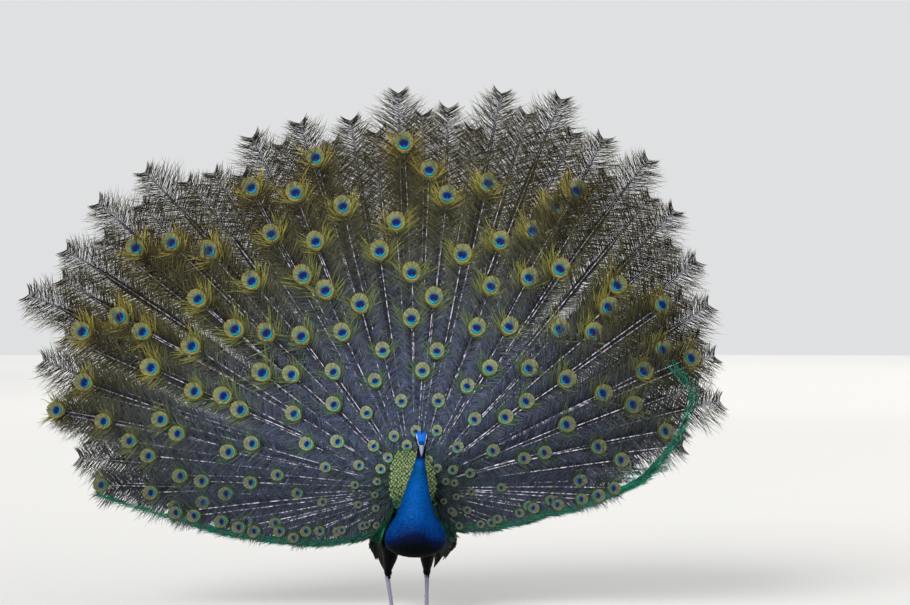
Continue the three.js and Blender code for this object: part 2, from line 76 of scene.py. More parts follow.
def ease(low, high, x):   # 0 below low, 1 above high, soft between
    t = np.clip((x - low) / (high - low), 0, 1)
    return t * t * (3 - 2 * t)


head = {"middle": (20, -85, 588), "pitch": 50, "eye": (15.2, 7, 2.5), "eyeRadius": 6.2}
headPitch = math.radians(head["pitch"])
headAxes = np.array([
    [1, 0, 0],
    [0, -math.cos(headPitch), -math.sin(headPitch)],   # along the bill
    [0, -math.sin(headPitch), math.cos(headPitch)],    # out of the crown
])
headMiddle = birdAt(*head["middle"])


def onHead(across, along, out):
    return headMiddle + np.array([across, along, out]) / 1000 @ headAxes


def inHead(points):
    return (points - headMiddle) @ headAxes.T * 1000


def linear(code):
    parts = [int(code[i:i + 2], 16) / 255 for i in (1, 3, 5)]
    return tuple(c / 12.92 if c <= 0.04045 else ((c + 0.055) / 1.055) ** 2.4 for c in parts) + (1.0,)


def addNode(tree, kind, settings=None, links=None, out=0):   # gives the socket to use, or the node
    node = tree.nodes.new("ShaderNode" + kind)
    for key, value in (settings or {}).items():
        if key == "stops":   # a ramp's colours by place
            ramp = node.color_ramp
            while len(ramp.elements) < len(value):
                ramp.elements.new(0.5)
            for element, (place, code) in zip(ramp.elements, value):
                element.position = place
                element.color = linear(code)
        elif isinstance(key, int) or key in node.inputs:
            node.inputs[key].default_value = linear(value) if isinstance(value, str) else value
        else:
            setattr(node, key, value)
    for key, source in (links or {}).items():
        tree.links.new(source, node.inputs[key])
    return node if out is None else node.outputs[out]


def startMaterial(name, finish, *marks):   # its node adder and shader, and a socket for each mark it reads
    material = bpy.data.materials.new(name)
    material.use_nodes = True
    material.node_tree.nodes.clear()
    node = partial(addNode, material.node_tree)
    shader = node("BsdfPrincipled", finish, out=None)
    node("OutputMaterial", None, {"Surface": shader.outputs[0]}, None)
    return material, node, shader, [node("Attribute", {"attribute_name": mark}, out="Fac") for mark in marks]


def endMaterial(material, shader, colour, relief=None, strength=0.3, depth=0.0003):
    tree = material.node_tree
    tree.links.new(colour, shader.inputs["Base Color"])
    if relief:
        bump = addNode(tree, "Bump", {"Strength": strength, "Distance": depth}, {"Height": relief})
        tree.links.new(bump, shader.inputs["Normal"])
    return material


def perMm(size):   # a texture's scale for a pattern of this many millimetres
    return 1000 / size


over = {"data_type": "RGBA"}   # one colour laid over another, or multiplied by it
times = {"data_type": "RGBA", "blend_type": "MULTIPLY", 0: 1.0}


def washed(node, colour, driver, stops, share=1.0):   # a colour multiplied by a ramp
    ramp = node("ValToRGB", {"stops": stops}, {0: driver})
    return node("Mix", {**times, 0: share}, {6: colour, 7: ramp}, 2)


def barbed(node, strand, across, count):   # the fine barbs of a vane, as a slanting wave
    slanted = node("Math", {"operation": "ADD"}, {0: strand, 1: across})
    turns = node("Math", {"operation": "MULTIPLY", 1: count}, {0: slanted})
    return node("Math", {"operation": "SINE"}, {0: turns})


# Train barbs are loose melanin strands with a thin film of structural colour: slate and violet near
# the root, bronze and gold-green further out, each barb a little different from the next.
def trainBarbMaterial():
    material, node, shader, (reach, glow, strand, tint, shade) = startMaterial(
        "peafowl barbs", {"Metallic": 0.15, "Roughness": 0.5, "IOR": 1.5, "Specular IOR Level": 0.3},
        "reach", "glow", "strand", "tint", "shade")
    base = node("ValToRGB", {"stops": [
        (0.06, "#5a7688"), (0.14, "#6e7faa"), (0.3, "#7883b2"), (0.45, "#6c7794"), (0.62, "#62645a"),
        (0.8, "#5a5238"), (1.0, "#483e28")]}, {0: reach})
    tinted = washed(node, base, tint, [
        (0.0, "#6d5a62"), (0.2, "#9a94a4"), (0.4, "#c6c4c8"), (0.6, "#c3c79a"), (0.8, "#b9aa74"),
        (1.0, "#e6e4ea")], 0.85)
    lustre = node("ValToRGB", {"stops": [
        (0.3, "#54784c"), (0.5, "#8c9444"), (0.75, "#b4a64c")]}, {0: reach})
    golden = node("Mix", over, {0: glow, 6: tinted, 7: lustre}, 2)
    lit = washed(node, golden, strand, [   # barbs lie in shadow at their roots
        (0.0, "#2e2e2e"), (0.10, "#6a6a6a"), (0.35, "#b8b8b8"), (0.75, "#ffffff")])
    # the shade mark darkens each barb: painted shade low at the fan's sides and on the bird's left, and also
    # darker random clumps and the dark forked tips of the rim
    return endMaterial(material, shader, node("Mix", times, {6: lit, 7: shade}, 2))


# The web close to each shaft is softer and darker than the barb tips, and hides what is behind. Its darkness
# is partly the feather's own dense barbs by the shaft and partly painted shade, a dark sheet for the deep
# gaps between feathers.
def trainWebMaterial():
    material, node, shader, (reach, strand) = startMaterial(
        "dark web with painted shade", {"Roughness": 0.7, "IOR": 1.5, "Specular IOR Level": 0.2}, "reach", "strand")
    grain = node("TexNoise", {"Scale": perMm(2.5), "Detail": 2.0})
    base = node("ValToRGB", {"stops": [
        (0.0, "#253a40"), (0.2, "#2d3846"), (0.45, "#31313a"), (0.7, "#2b2928"), (1.0, "#26221e")]},
        {0: reach})
    mixed = washed(node, base, grain, [(0.3, "#6c6c6c"), (0.7, "#ffffff")], 0.8)
    return endMaterial(material, shader, node(
        "Mix", {**over, 7: "#3a3b3a"}, {0: strand, 6: mixed}, 2))


# A shaft is smooth keratin: lilac-white and glossy on its front, greyer towards the tip. Its colour is broken
# into bright dashes and dark gaps, which are painted glints and painted shade where barbs cross it.
def shaftMaterial():
    material, node, shader, (reach,) = startMaterial("keratin shaft", {
        "Roughness": 0.28, "IOR": 1.55, "Coat Weight": 0.3, "Coat Roughness": 0.2}, "reach")
    grain = node("TexNoise", {"Scale": perMm(9), "Detail": 2.0})
    base = node("ValToRGB", {"stops": [
        (0.0, "#30363c"), (0.07, "#4c525c"), (0.12, "#dcd9ee"), (0.3, "#e4e0f6"), (0.62, "#dad6ea"),
        (0.85, "#86849a"), (1.0, "#5c5a6a")]}, {0: reach})
    # noise breaks the colour into bright dashes and dark gaps: painted glints, and painted shade where barbs
    # cross the shaft
    return endMaterial(material, shader, washed(
        node, base, grain, [(0.46, "#20222e"), (0.56, "#ffffff")], 0.92))


# An eye spot is one flat vane of barbs that all lie side by side. Its colours are films on the barbs:
# a navy heart in a turquoise disc, copper round it, then a thin gold ring and a green rim.
def eyeSpotMaterial():
    material, node, shader, (sideways, along, tint, shade, reach, swell) = startMaterial(
        "eye spot vane", {"Metallic": 0.1, "Roughness": 0.45, "IOR": 1.5, "Specular IOR Level": 0.25},
        "spotAcross", "spotAlong", "tint", "shade", "reach", "swell")
    point = node("CombineXYZ", None, {"X": sideways, "Y": along})
    rings = {   # where each ring's middle lies along the spot, and how wide and long it is
        "copper": (0.46, (1.64, 1.76, 1)), "disc": (0.0, (1.0, 1.0, 1)), "heart": (0.17, (0.82, 0.66, 1)),
        "notch": (-0.58, (0.17, 0.44, 1)),   # the turquoise that cuts into the heart from below
    }
    for name, (middle, stretch) in rings.items():   # distance from the ring's middle, 1 on its edge
        moved = node("VectorMath", {"operation": "SUBTRACT", 1: (0, middle, 0)}, {0: point})
        sized = node("VectorMath", {"operation": "DIVIDE", 1: stretch}, {0: moved})
        rings[name] = node("VectorMath", {"operation": "LENGTH"}, {0: sized}, "Value")
    copper = node("Math", {"operation": "DIVIDE"}, {0: rings["copper"], 1: swell})
    nearRoot = node("ValToRGB", {"stops": [
        (0.0, "#8f8474"), (0.5, "#96907c"), (0.7, "#8f8f72"), (0.78, "#7f9062"), (0.85, "#b4bf8c"),
        (0.91, "#84a070"), (0.96, "#3f6a4a"), (1.0, "#5d7f50")]}, {0: copper})
    nearRim = node("ValToRGB", {"stops": [
        (0.0, "#727a5c"), (0.5, "#7d8664"), (0.7, "#8b956c"), (0.8, "#79824f"), (0.87, "#a39c58"),
        (0.93, "#b98a48"), (0.97, "#7f7f46"), (1.0, "#70743f")]}, {0: copper})
    outness = node("MapRange", {1: 0.22, 2: 0.5}, {0: reach})
    outer = node("Mix", over, {0: outness, 6: nearRoot, 7: nearRim}, 2)
    turquoise = node("ValToRGB", {"stops": [
        (0.0, "#0a50c8"), (0.5, "#0c70c4"), (0.7, "#12b0c0"), (0.82, "#1cae98"), (0.91, "#0e6a56"),
        (1.0, "#12463c")]}, {0: rings["disc"]})
    inDisc = node("MapRange", {1: 1.04, 2: 0.94}, {0: rings["disc"]})
    withDisc = node("Mix", over, {0: inDisc, 6: outer, 7: turquoise}, 2)
    navy = node("ValToRGB", {"stops": [
        (0.0, "#010a44"), (0.55, "#020f5c"), (0.88, "#061f8e"), (1.0, "#0a48a8")]}, {0: rings["heart"]})
    inHeart = node("MapRange", {1: 1.06, 2: 0.92}, {0: rings["heart"]})
    offNotch = node("MapRange", {1: 0.8, 2: 1.2}, {0: rings["notch"]})
    heartMask = node("Math", {"operation": "MULTIPLY"}, {0: inHeart, 1: offNotch})
    withHeart = node("Mix", over, {0: heartMask, 6: withDisc, 7: navy}, 2)
    barred = washed(node, withHeart, tint, [(0.0, "#b8b8b8"), (1.0, "#ffffff")])
    # the shade mark darkens the eye spot: painted shade low at the fan's sides and on the bird's left
    return endMaterial(material, shader, node("Mix", times, {6: barred, 7: shade}, 2))


# Sword feathers edge the fan: one long dense fringe of emerald barbs, metallic and smooth.
def swordMaterial():
    material, node, shader, (reach, strand, tint) = startMaterial(
        "emerald fringe", {"Metallic": 0.2, "Roughness": 0.42, "IOR": 1.5, "Specular IOR Level": 0.35},
        "reach", "strand", "tint")
    base = node("ValToRGB", {"stops": [
        (0.0, "#3f605c"), (0.4, "#1a8272"), (0.7, "#0ca38c"), (1.0, "#1cb49c")]}, {0: reach})
    tinted = washed(node, base, tint, [
        (0.0, "#173434"), (0.35, "#5f9a98"), (0.7, "#b4d8b8"), (1.0, "#f4f6dd")], 0.9)
    # darker towards each barb's root: painted shade where the barbs lie in shadow at their roots
    return endMaterial(material, shader, washed(node, tinted, strand, [
        (0.0, "#7a7a7a"), (0.5, "#d5d5d5"), (1.0, "#ffffff")]))


# Contour feathers: melanin under a structural film, velvet black low on the body, cobalt on the neck,
# teal below the head and azure on the crown. White marks are bare skin. Skin and coat share this.
def plumageMaterial(name, isSkin):
    finish = {"Metallic": 0.25, "Roughness": 0.46, "IOR": 1.5, "Specular IOR Level": 0.05}
    if isSkin:
        finish = {"Roughness": 0.6, "IOR": 1.45, "Specular IOR Level": 0.25}
    marks = ("tone", "white") if isSkin else ("tone", "white", "strand", "edge", "tint")
    material, node, shader, (tone, white, *coatMarks) = startMaterial(name, finish, *marks)
    base = node("ValToRGB", {"stops": [
        (0.0, "#08090a"), (0.15, "#070d14"), (0.27, "#021746"), (0.42, "#0050a4"), (0.62, "#0066bc"),
        (0.76, "#055078"), (0.84, "#0a60ae"), (1.0, "#2b86fa")]}, {0: tone})
    if isSkin:
        # the bare skin is painted darker than the coat: painted shade under the feathers
        lit = node("Mix", {**times, 7: "#cccccc"}, {6: base}, 2)
        relief = node("TexNoise", {"Scale": perMm(1.2), "Detail": 3.0})   # wrinkles
    else:
        strand, edge, tint = coatMarks
        tinted = washed(node, base, tint, [(0.0, "#7094b8"), (0.5, "#d4e0e8"), (1.0, "#ffffff")], 0.85)
        # darker at each feather's root: painted shade under the feather that lies over it; a little darker
        # again at the tip
        lit = washed(node, tinted, strand, [
            (0.0, "#8c8c8c"), (0.45, "#d0d0d0"), (0.85, "#ffffff"), (1.0, "#e4e4e4")])
        grain = node("TexNoise", {"Scale": perMm(3), "Detail": 3.0})
        barbs = barbed(node, strand, edge, 26.0)
        relief = node("Math", {"operation": "MULTIPLY"}, {0: barbs, 1: grain})
    pale = node("Mix", {**over, 7: "#e4ecf6"}, {0: white, 6: lit}, 2)
    return endMaterial(material, shader, pale, relief, *((0.4, 0.0004) if isSkin else (0.35, 0.0003)))


# Scale feathers of the back and the wing: a glossy middle, a dark border, fine barbs across. The barbs
# are drawn coarser than the real 0.3 mm, so that they show.
def scaleMaterial(name, colours, finish):
    material, node, shader, (strand, edge, tint, tone) = startMaterial(
        name, finish, "strand", "edge", "tint", "tone")
    side = node("Math", {"operation": "ABSOLUTE"}, {0: edge})
    tipward = node("MapRange", {1: 0.35, 2: 1.0}, {0: strand})
    rim = node("Math", {"operation": "MAXIMUM"}, {0: side, 1: tipward})
    middle = node("ValToRGB", {"stops": colours["tone"]}, {0: tone})
    edged = washed(node, middle, rim, colours["rim"])
    tinted = washed(node, edged, tint, colours["tint"], 0.9)
    return endMaterial(material, shader, tinted, barbed(node, strand, side, colours["barbs"]))


# Horn: the bill and claws are layered keratin, satin, with fine growth lines and a paler tip.
def hornMaterial(name, stops, gloss):
    material, node, shader, (strand, pit) = startMaterial(
        name, {"Roughness": gloss, "IOR": 1.55, "Subsurface Weight": 0.08, "Subsurface Scale": 0.002},
        "strand", "pit")
    grain = node("TexNoise", {"Scale": perMm(1.5), "Detail": 4.0})
    base = node("ValToRGB", {"stops": stops}, {0: strand})
    clouded = washed(node, base, grain, [(0.3, "#b0acb4"), (0.7, "#ffffff")], 0.6)
    # the nostril slit is painted near black: painted shade in its hollow
    mixed = node("Mix", {**over, 7: "#1d181c"}, {0: pit, 6: clouded}, 2)   # the nostril
    return endMaterial(material, shader, mixed, grain, 0.15, 0.0002)


# Leg skin: horny scutes, lilac-grey, darker in the seams between them.
def scuteMaterial():
    material, node, shader, (seam,) = startMaterial(
        "scuted leg skin", {"Roughness": 0.5, "IOR": 1.5, "Specular IOR Level": 0.4}, "seam")
    cells = node("TexVoronoi", {"Scale": perMm(2.2), "feature": "DISTANCE_TO_EDGE"})
    grain = node("TexNoise", {"Scale": perMm(6), "Detail": 3.0})
    base = node("ValToRGB", {"stops": [
        (0.0, "#474450"), (0.3, "#7c7b8e"), (1.0, "#9799b4")]}, {0: seam})
    mixed = washed(node, base, grain, [(0.3, "#9c9890"), (0.7, "#ffffff")], 0.7)
    beads = node("MapRange", {1: 0.0, 2: 0.2}, {0: cells})
    return endMaterial(material, shader, mixed, beads, 0.35, 0.0004)


# The eyeball: a dark brown iris round a black pupil, under a wet clear cornea.
def eyeballMaterial():
    material, node, shader, (turn,) = startMaterial("wet eyeball", {
        "Roughness": 0.25, "IOR": 1.38, "Specular IOR Level": 0.15, "Coat Weight": 0.28,
        "Coat Roughness": 0.03}, "turn")
    grain = node("TexNoise", {"Scale": perMm(0.7), "Detail": 2.0})
    base = node("ValToRGB", {"stops": [
        (0.0, "#020202"), (0.40, "#030303"), (0.45, "#35200f"), (0.64, "#4a2c18"), (0.76, "#0d0806"),
        (1.0, "#120e0d")]}, {0: turn})
    return endMaterial(material, shader, washed(
        node, base, grain, [(0.3, "#a08c80"), (0.7, "#ffffff")], 0.6))


# Many small shapes are poured into one heap, and a heap becomes one piece.
def newHeap():
    return {"points": [], "quads": [], "tris": [], "places": [], "marks": {}, "count": 0}


def pour(heap, points, quads, tris, places, marks):
    n, k = points.shape[:2]   # n shapes of k points each; faces number the points of one shape
    offset = heap["count"] + np.arange(n)[:, None, None] * k
    heap["points"].append(points.reshape(-1, 3))
    heap["quads"].append((np.array(quads, int).reshape(1, -1, 4) + offset).reshape(-1, 4))
    heap["tris"].append((np.array(tris, int).reshape(1, -1, 3) + offset).reshape(-1, 3))
    heap["places"].append(np.clip(places, 0.001, 0.999).reshape(-1, 2))
    for name, value in marks.items():
        heap["marks"].setdefault(name, []).append(np.broadcast_to(value, (n, k)).ravel())
    heap["count"] += n * k


def readAll(items, field, kind, each=1):   # one field of every point, corner or face of a mesh
    values = np.empty(len(items) * each, kind)
    items.foreach_get(field, values)
    return values if each == 1 else values.reshape(-1, each)


def dressMesh(mesh, places, marks, seamEnd):   # gives a mesh its unwrap, its marks and smooth faces
    for mark, value in marks.items():
        layer = mesh.attributes.new(mark, "FLOAT", "POINT")
        layer.data.foreach_set("value", np.broadcast_to(value, len(mesh.vertices)).astype(np.float32))
    corners = readAll(mesh.loops, "vertex_index", np.int32)
    starts = readAll(mesh.polygons, "loop_start", np.int32)
    uv = places[corners]
    faceOf = np.repeat(np.arange(len(starts)), np.diff(np.append(starts, len(corners))))
    low, high = np.full(len(starts), 2.0), np.full(len(starts), -1.0)
    np.minimum.at(low, faceOf, uv[:, 0])
    np.maximum.at(high, faceOf, uv[:, 0])
    wraps = (high - low)[faceOf] > 0.5   # a face over the seam of the unwrap stays at its high end
    uv[wraps & (uv[:, 0] < 0.5), 0] = seamEnd
    layer = mesh.uv_layers.new(name="OFBake")
    layer.data.foreach_set("uv", uv.astype(np.float32).ravel())
    mesh.polygons.foreach_set("use_smooth", np.ones(len(mesh.polygons), bool))


def meshFrom(name, points, quads, tris):
    mesh = bpy.data.meshes.new(name)
    mesh.vertices.add(len(points))
    mesh.vertices.foreach_set("co", points.astype(np.float32).ravel())
    corners = np.concatenate([quads.ravel(), tris.ravel()]).astype(np.int32)
    starts = np.concatenate([np.arange(len(quads)) * 4, len(quads) * 4 + np.arange(len(tris)) * 3])
    mesh.loops.add(len(corners))
    mesh.loops.foreach_set("vertex_index", corners)
    mesh.polygons.add(len(starts))
    mesh.polygons.foreach_set("loop_start", starts.astype(np.int32))
    mesh.update(calc_edges=True)
    return mesh


def addObject(name, mesh, material, replaced):
    mesh.materials.clear()
    mesh.materials.append(material)
    piece = bpy.data.objects.new(name, mesh)
    bpy.context.scene.collection.objects.link(piece)
    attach(piece, "root")
    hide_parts(*replaced)


def makePiece(name, heap, material, replaced):
    quads, tris = np.concatenate(heap["quads"]), np.concatenate(heap["tris"])
    mesh = meshFrom(name, np.concatenate(heap["points"]), quads, tris)
    marks = {mark: np.concatenate(values) for mark, values in heap["marks"].items()}
    dressMesh(mesh, np.concatenate(heap["places"]), marks, 0.999)
    print(f"peacock: {name}, {len(quads) * 2 + len(tris)} triangles")
    addObject(name, mesh, material, replaced)


barbAlong = np.array([0, 0.4, 0.75, 1.0])
barbHalf = np.array([0.4, 0.5, 0.36])


# A barb: a thin ribbon that starts along one way and bends to another, narrowing to a point.
def layBarbs(heap, roots, start, finish, facing, length, width, twist, placeRoot, placeWay, marks):
    t = barbAlong[None, :, None]
    path = roots[:, None] + length[:, None, None] * (
        start[:, None] * (t - t * t / 2) + finish[:, None] * t * t / 2)
    way = start[:, None] * (1 - t) + finish[:, None] * t
    across = unit(np.cross(way, np.broadcast_to(facing[:, None], way.shape)))
    turn = twist[:, None, None]
    across = unit(across * np.cos(turn) + facing[:, None] * np.sin(turn))
    half = across[:, :3] * (width[:, None] * barbHalf)[:, :, None]
    pairs = np.stack([path[:, :3] - half, path[:, :3] + half], axis=2).reshape(len(roots), 6, 3)
    points = np.concatenate([pairs, path[:, 3:]], axis=1)
    strand = barbAlong[[0, 0, 1, 1, 2, 2, 3]]
    where = placeRoot[:, None] + placeWay[:, None] * strand[None, :, None]
    where = where + np.array([[-1, 0], [1, 0]] * 3 + [[0, 0]]) * 0.0008
    pour(heap, points, [[0, 1, 3, 2], [2, 3, 5, 4]], [[4, 5, 6]], where, {"strand": strand, **marks})


def bandQuads(rows):   # a band two faces wide
    return [[r * 3 + i, r * 3 + i + 1, r * 3 + i + 4, r * 3 + i + 3] for r in range(rows - 1) for i in (0, 1)]


def tubeQuads(rings, sides, closed=False):
    quads = []
    for r in range(rings if closed else rings - 1):
        ahead = (r + 1) % rings
        for i in range(sides):
            j = (i + 1) % sides
            quads.append([r * sides + i, r * sides + j, ahead * sides + j, ahead * sides + i])
    return quads


def ovalRings(path, across, up, half, height, sides):   # one ring of points round each place of a path
    turn = np.arange(sides) * 2 * math.pi / sides
    ring = (across[..., None, :] * (half[..., None] * np.cos(turn))[..., None]
            + up[..., None, :] * (height[..., None] * np.sin(turn))[..., None])
    return path[..., None, :] + ring


# A vane: a leaf with a middle line, cambered across, its tip curling away from what it lies on.
def layVanes(heap, roots, ways, outs, lengths, widths, shape, places, marks):
    along = np.array(shape["along"])
    outline = np.array(shape["outline"])
    rows = len(along) - 1
    sideways = unit(np.cross(ways, outs))[:, None, None]
    t = along[None, :rows, None, None]
    c = np.array([-1, 0, 1])[None, None, :, None]
    half = outline[None, :rows, None, None] * widths[:, None, None, None] / 2
    long = lengths[:, None, None, None]
    rise = shape["lift"] + shape["curl"] * long * t ** 2 - shape["camber"] * half * c ** 2
    body = roots[:, None, None] + ways[:, None, None] * long * t + outs[:, None, None] * rise
    body = (body + sideways * c * half).reshape(len(roots), rows * 3, 3)
    tip = roots + ways * lengths[:, None] + outs * (shape["lift"] + shape["curl"] * lengths[:, None])
    last = rows * 3 - 3
    tris = [[last, last + 1, rows * 3], [last + 1, last + 2, rows * 3]]
    strand = np.append(np.repeat(along[:rows], 3), 1.0)
    edge = np.append(np.tile([-1.0, 0.0, 1.0], rows) * np.repeat(outline[:rows], 3), 0.0)
    patch = np.stack([edge * 0.0015, strand * 0.003 - 0.0015], axis=1)
    pour(heap, np.concatenate([body, tip[:, None]], axis=1), bandQuads(rows), tris,
         places[:, None] + patch[None], {"strand": strand, "edge": edge, **marks})


# A tube swept along each path, with an oval section; its ends are drawn in to close it.
def sweepTubes(heap, paths, across, up, half, height, sides, places, marks):
    n, k = paths.shape[:2]
    points = ovalRings(paths, across, up, half, height, sides).reshape(n, k * sides, 3)
    beside = np.stack([np.zeros(sides), np.linspace(-1, 1, sides)], axis=1) * 0.001
    where = np.repeat(places, sides, axis=1) + np.tile(beside, (k, 1))
    spread = {name: np.repeat(np.broadcast_to(value, (n, k)), sides, axis=1)
              for name, value in marks.items()}
    pour(heap, points, tubeQuads(k, sides), [], where, spread)


# The fan: shafts leave the root leaning back and bend forward, more at the sides than on top.
fan = {
    "root": birdAt(-7, 130, 412), "lean": 6, "shaft": 1.45, "bend": {"top": 22, "left": 34, "right": 62},
    "pitch": 7.5, "from": -148.5, "rimWave": 0.028, "waveRate": 2.4,
    "reach": [   # shaft length of the rim feathers in mm, by angle from straight up
        (-150, 195), (-138, 228), (-128, 300), (-114, 460), (-107, 575), (-98, 790), (-94, 930), (-90, 1110),
        (-80, 1240), (-70, 1400), (-62, 1500), (-45, 1500), (-33, 1360), (-15, 1350), (8, 1370),
        (18, 1465), (38, 1400), (48, 1350), (58, 1235), (70, 1225), (76, 1095), (87, 830), (92, 670),
        (101, 470), (111, 355), (125, 250), (137, 205),
    ],
}


def fanReach(degrees):
    angles, lengths = zip(*fan["reach"])
    return np.interp(degrees, angles, lengths) / 1000


def fanFrame(angle, along):   # a place on the fan and its own axes: outward, sideways, to the front
    lean = math.radians(fan["lean"])
    wide = np.where(angle < 0, fan["bend"]["left"], fan["bend"]["right"])
    top = fan["bend"]["top"]
    bend = np.radians(top + (wide - top) * np.sin(angle) ** 2)
    slope = bend * along / fan["shaft"] - lean
    out = fan["shaft"] / bend * (np.sin(slope) + math.sin(lean))
    forward = fan["shaft"] / bend * (math.cos(lean) - np.cos(slope))
    s, c, zero = np.sin(angle), np.cos(angle), np.zeros_like(out)
    place = fan["root"] + np.stack([out * s, -forward, out * c], -1)
    tangent = np.stack([np.cos(slope) * s, -np.sin(slope), np.cos(slope) * c], -1)
    sideways = np.stack([c, zero, -s], -1)
    return place, tangent, sideways, np.cross(sideways, tangent)


spots = {
    "rows": [   # shaft length, then each run of eye spots: first and last angle, how many
        (0.101, (25, 49, 2), (79, 114, 2)),
        (0.139, (-117, -41, 5), (-11, -11, 1), (64, 121, 4)),
        (0.197, (-128, -86, 3), (-67, 45, 6), (74, 131, 4)),
        (0.298, (-118, -79, 3), (-58, 114, 8)),
        (0.390, (-111, -94, 2), (-68, 99, 8)),
        (0.475, (-104, -86, 2), (-57, 96, 8)),
        (0.567, (-101, -75, 3), (-47, 88, 7)),
        (0.645, (-92, -66, 3), (-53, -38, 2), (-16, 77, 5)),
        (0.724, (-94, -88, 2), (-64, 84, 8)),
        (0.810, (-95, -78, 3), (-66, 67, 8)),
        (0.895, (-91, -75, 3), (-57, -4, 4), (19, 77, 5)),
        (0.980, (-81, -81, 1), (-66, -66, 1), (-49, 24, 5), (44, 60, 2)),
        (1.070, (-89, -77, 2), (-60, -22, 3), (2, 27, 3), (52, 64, 2)),
        (1.165, (-71, -60, 2), (-43, -2, 4), (29, 29, 1)),
        (1.245, (-78, -50, 3)),
    ],
    "size": (0.0058, 0.0188), "fullSizeAt": 0.66, "sideSize": 0.67, "jitter": (0.9, 0.007),
    "edgeRows": {"left": (0.17, 0.84), "right": (0.17, 0.74)}, "edgeStep": 0.064, "edgeInset": 0.085,
}


def makeFeathers():   # every long feather of the train, from the front row to the rim
    feathers = []

    def add(kind, degrees, end, lift, size=0.0):
        feathers.append({
            "kind": kind, "angle": math.radians(degrees), "end": end, "lift": lift, "size": size,
            "sway": math.radians(dice.normal(0, 0.5)),
        })

    def spotSize(along, angle):   # smaller near the root and low at the sides
        small, full = spots["size"]
        size = blend(small, full, min(1, along / spots["fullSizeAt"]))
        return size * blend(1, spots["sideSize"], ease(58, 92, abs(angle))) * dice.uniform(0.94, 1.05)

    for row, (along, *runs) in enumerate(spots["rows"]):
        for first, last, count in runs:
            for degrees in np.linspace(first, last, count):
                at = along + dice.normal(0, spots["jitter"][1])
                lift = 0.0009 * (len(spots["rows"]) - row)
                add("spot", degrees + dice.normal(0, spots["jitter"][0]), at, lift, spotSize(at, degrees))
    for side, (first, last) in spots["edgeRows"].items():
        angles = np.arange(-150, -60, 0.5) if side == "left" else np.arange(147, 60, -0.5)
        for at in np.arange(first, last, spots["edgeStep"]):
            inset = spots["edgeInset"] * dice.uniform(0.75, 1.25)
            degrees = np.interp(at + inset, fanReach(angles), angles)
            add("spot", degrees, at + dice.normal(0, 0.012), 0.0115, spotSize(at, degrees) * 0.95)
    for number in range(7, 31):   # the rim: pairs of points beside a notch
        for turn, short in ((0.5, 0.0), (1.0, 0.075)):
            degrees = fan["from"] + fan["pitch"] * (number + turn)
            wave = fan["rimWave"] * math.sin(number * fan["waveRate"])
            end = fanReach(degrees) + wave - 0.045 - short - abs(dice.normal(0, 0.012))
            add("fishtail", degrees + dice.normal(0, 0.25), end, 0.0)
    for first, last in ((-149, -96.5), (84.5, 147)):
        for degrees in np.arange(first, last, 3.0):
            add("sword", degrees, fanReach(degrees) - 0.01 - abs(dice.normal(0, 0.008)), 0.0005)
    return feathers


barbs = {
    "start": 0.075, "looseFrom": 0.50, "lowSpacing": 0.0028, "highSpacing": 0.00155,
    "lowLength": (0.022, 0.054), "highLength": (0.060, 0.098), "width": 0.0016,
    "thinFrom": 0.26, "thinSpacing": 0.0014, "forkSpacing": 0.0011, "fork": 0.03,
    "flareFrom": 0.055, "flareSpacing": 0.0010, "swordSpacing": 0.0022, "rightShade": 0.45,
    "lowShade": 0.52, "sideReach": 0.66, "lock": 0.008, "locks": 4096,
}


def barbRoots(feather):   # where barbs stand along one shaft
    end = feather["end"] - (1.25 * feather["size"] if feather["kind"] == "spot" else 0)
    if feather["kind"] == "sword":
        return np.arange(barbs["start"], end, barbs["swordSpacing"])
    loose = max(barbs["start"], end - barbs["looseFrom"])
    if feather["kind"] == "fishtail":
        ends = [end - barbs["thinFrom"], end - barbs["fork"], end]
        steps = [barbs["highSpacing"], barbs["thinSpacing"], barbs["forkSpacing"]]
    else:
        ends = [end - barbs["flareFrom"], end]
        steps = [barbs["highSpacing"], barbs["flareSpacing"]]
    parts = [np.arange(barbs["start"], loose, barbs["lowSpacing"])]
    for first, last, step in zip([loose] + ends, ends, steps):
        parts.append(np.arange(first, last, step))
    return np.concatenate(parts)


def sideShade(degrees):   # painted shade: darker low at the sides, and on the bird's left most of all, the side that lay in shade
    return blend(1.0, barbs["rightShade"], ease(25, 85, degrees)) * blend(
        1.0, barbs["lowShade"], ease(-65, -95, degrees))


def airyShare(angle):   # the open barbs of the rim run less far in at the sides
    return blend(1, 0.45, ease(30, 65, np.abs(np.degrees(angle))))


def sideCool(angle):   # the colours of the inner train reach further out at the sides
    return blend(1, barbs["sideReach"], ease(50, 88, np.abs(np.degrees(angle))))


def ofEach(feathers, index, *fields):   # each barb's share of what its own feather says
    return [np.array([feather[field] for feather in feathers])[index] for field in fields]


def swayed(angle, sway, share):   # a shaft bows a little to one side, most in its middle
    return angle + sway * share * (1 - share) * 4


def barbWay(axes, side, turn, puff, sag=0.0):   # turned off the shaft to one side, and off the fan
    tangent, sideways, front = axes
    return unit(tangent * np.cos(turn)[:, None] + sideways * (side * np.sin(turn))[:, None]
                + front * puff[:, None] + np.array([0, 0, -sag]))


barbTurn = {   # degrees off the shaft where a barb leaves it, and where it ends
    "plain": (56, 36), "fork": (68, 30), "nearSpot": (42, 24), "looseEnd": 10,
}


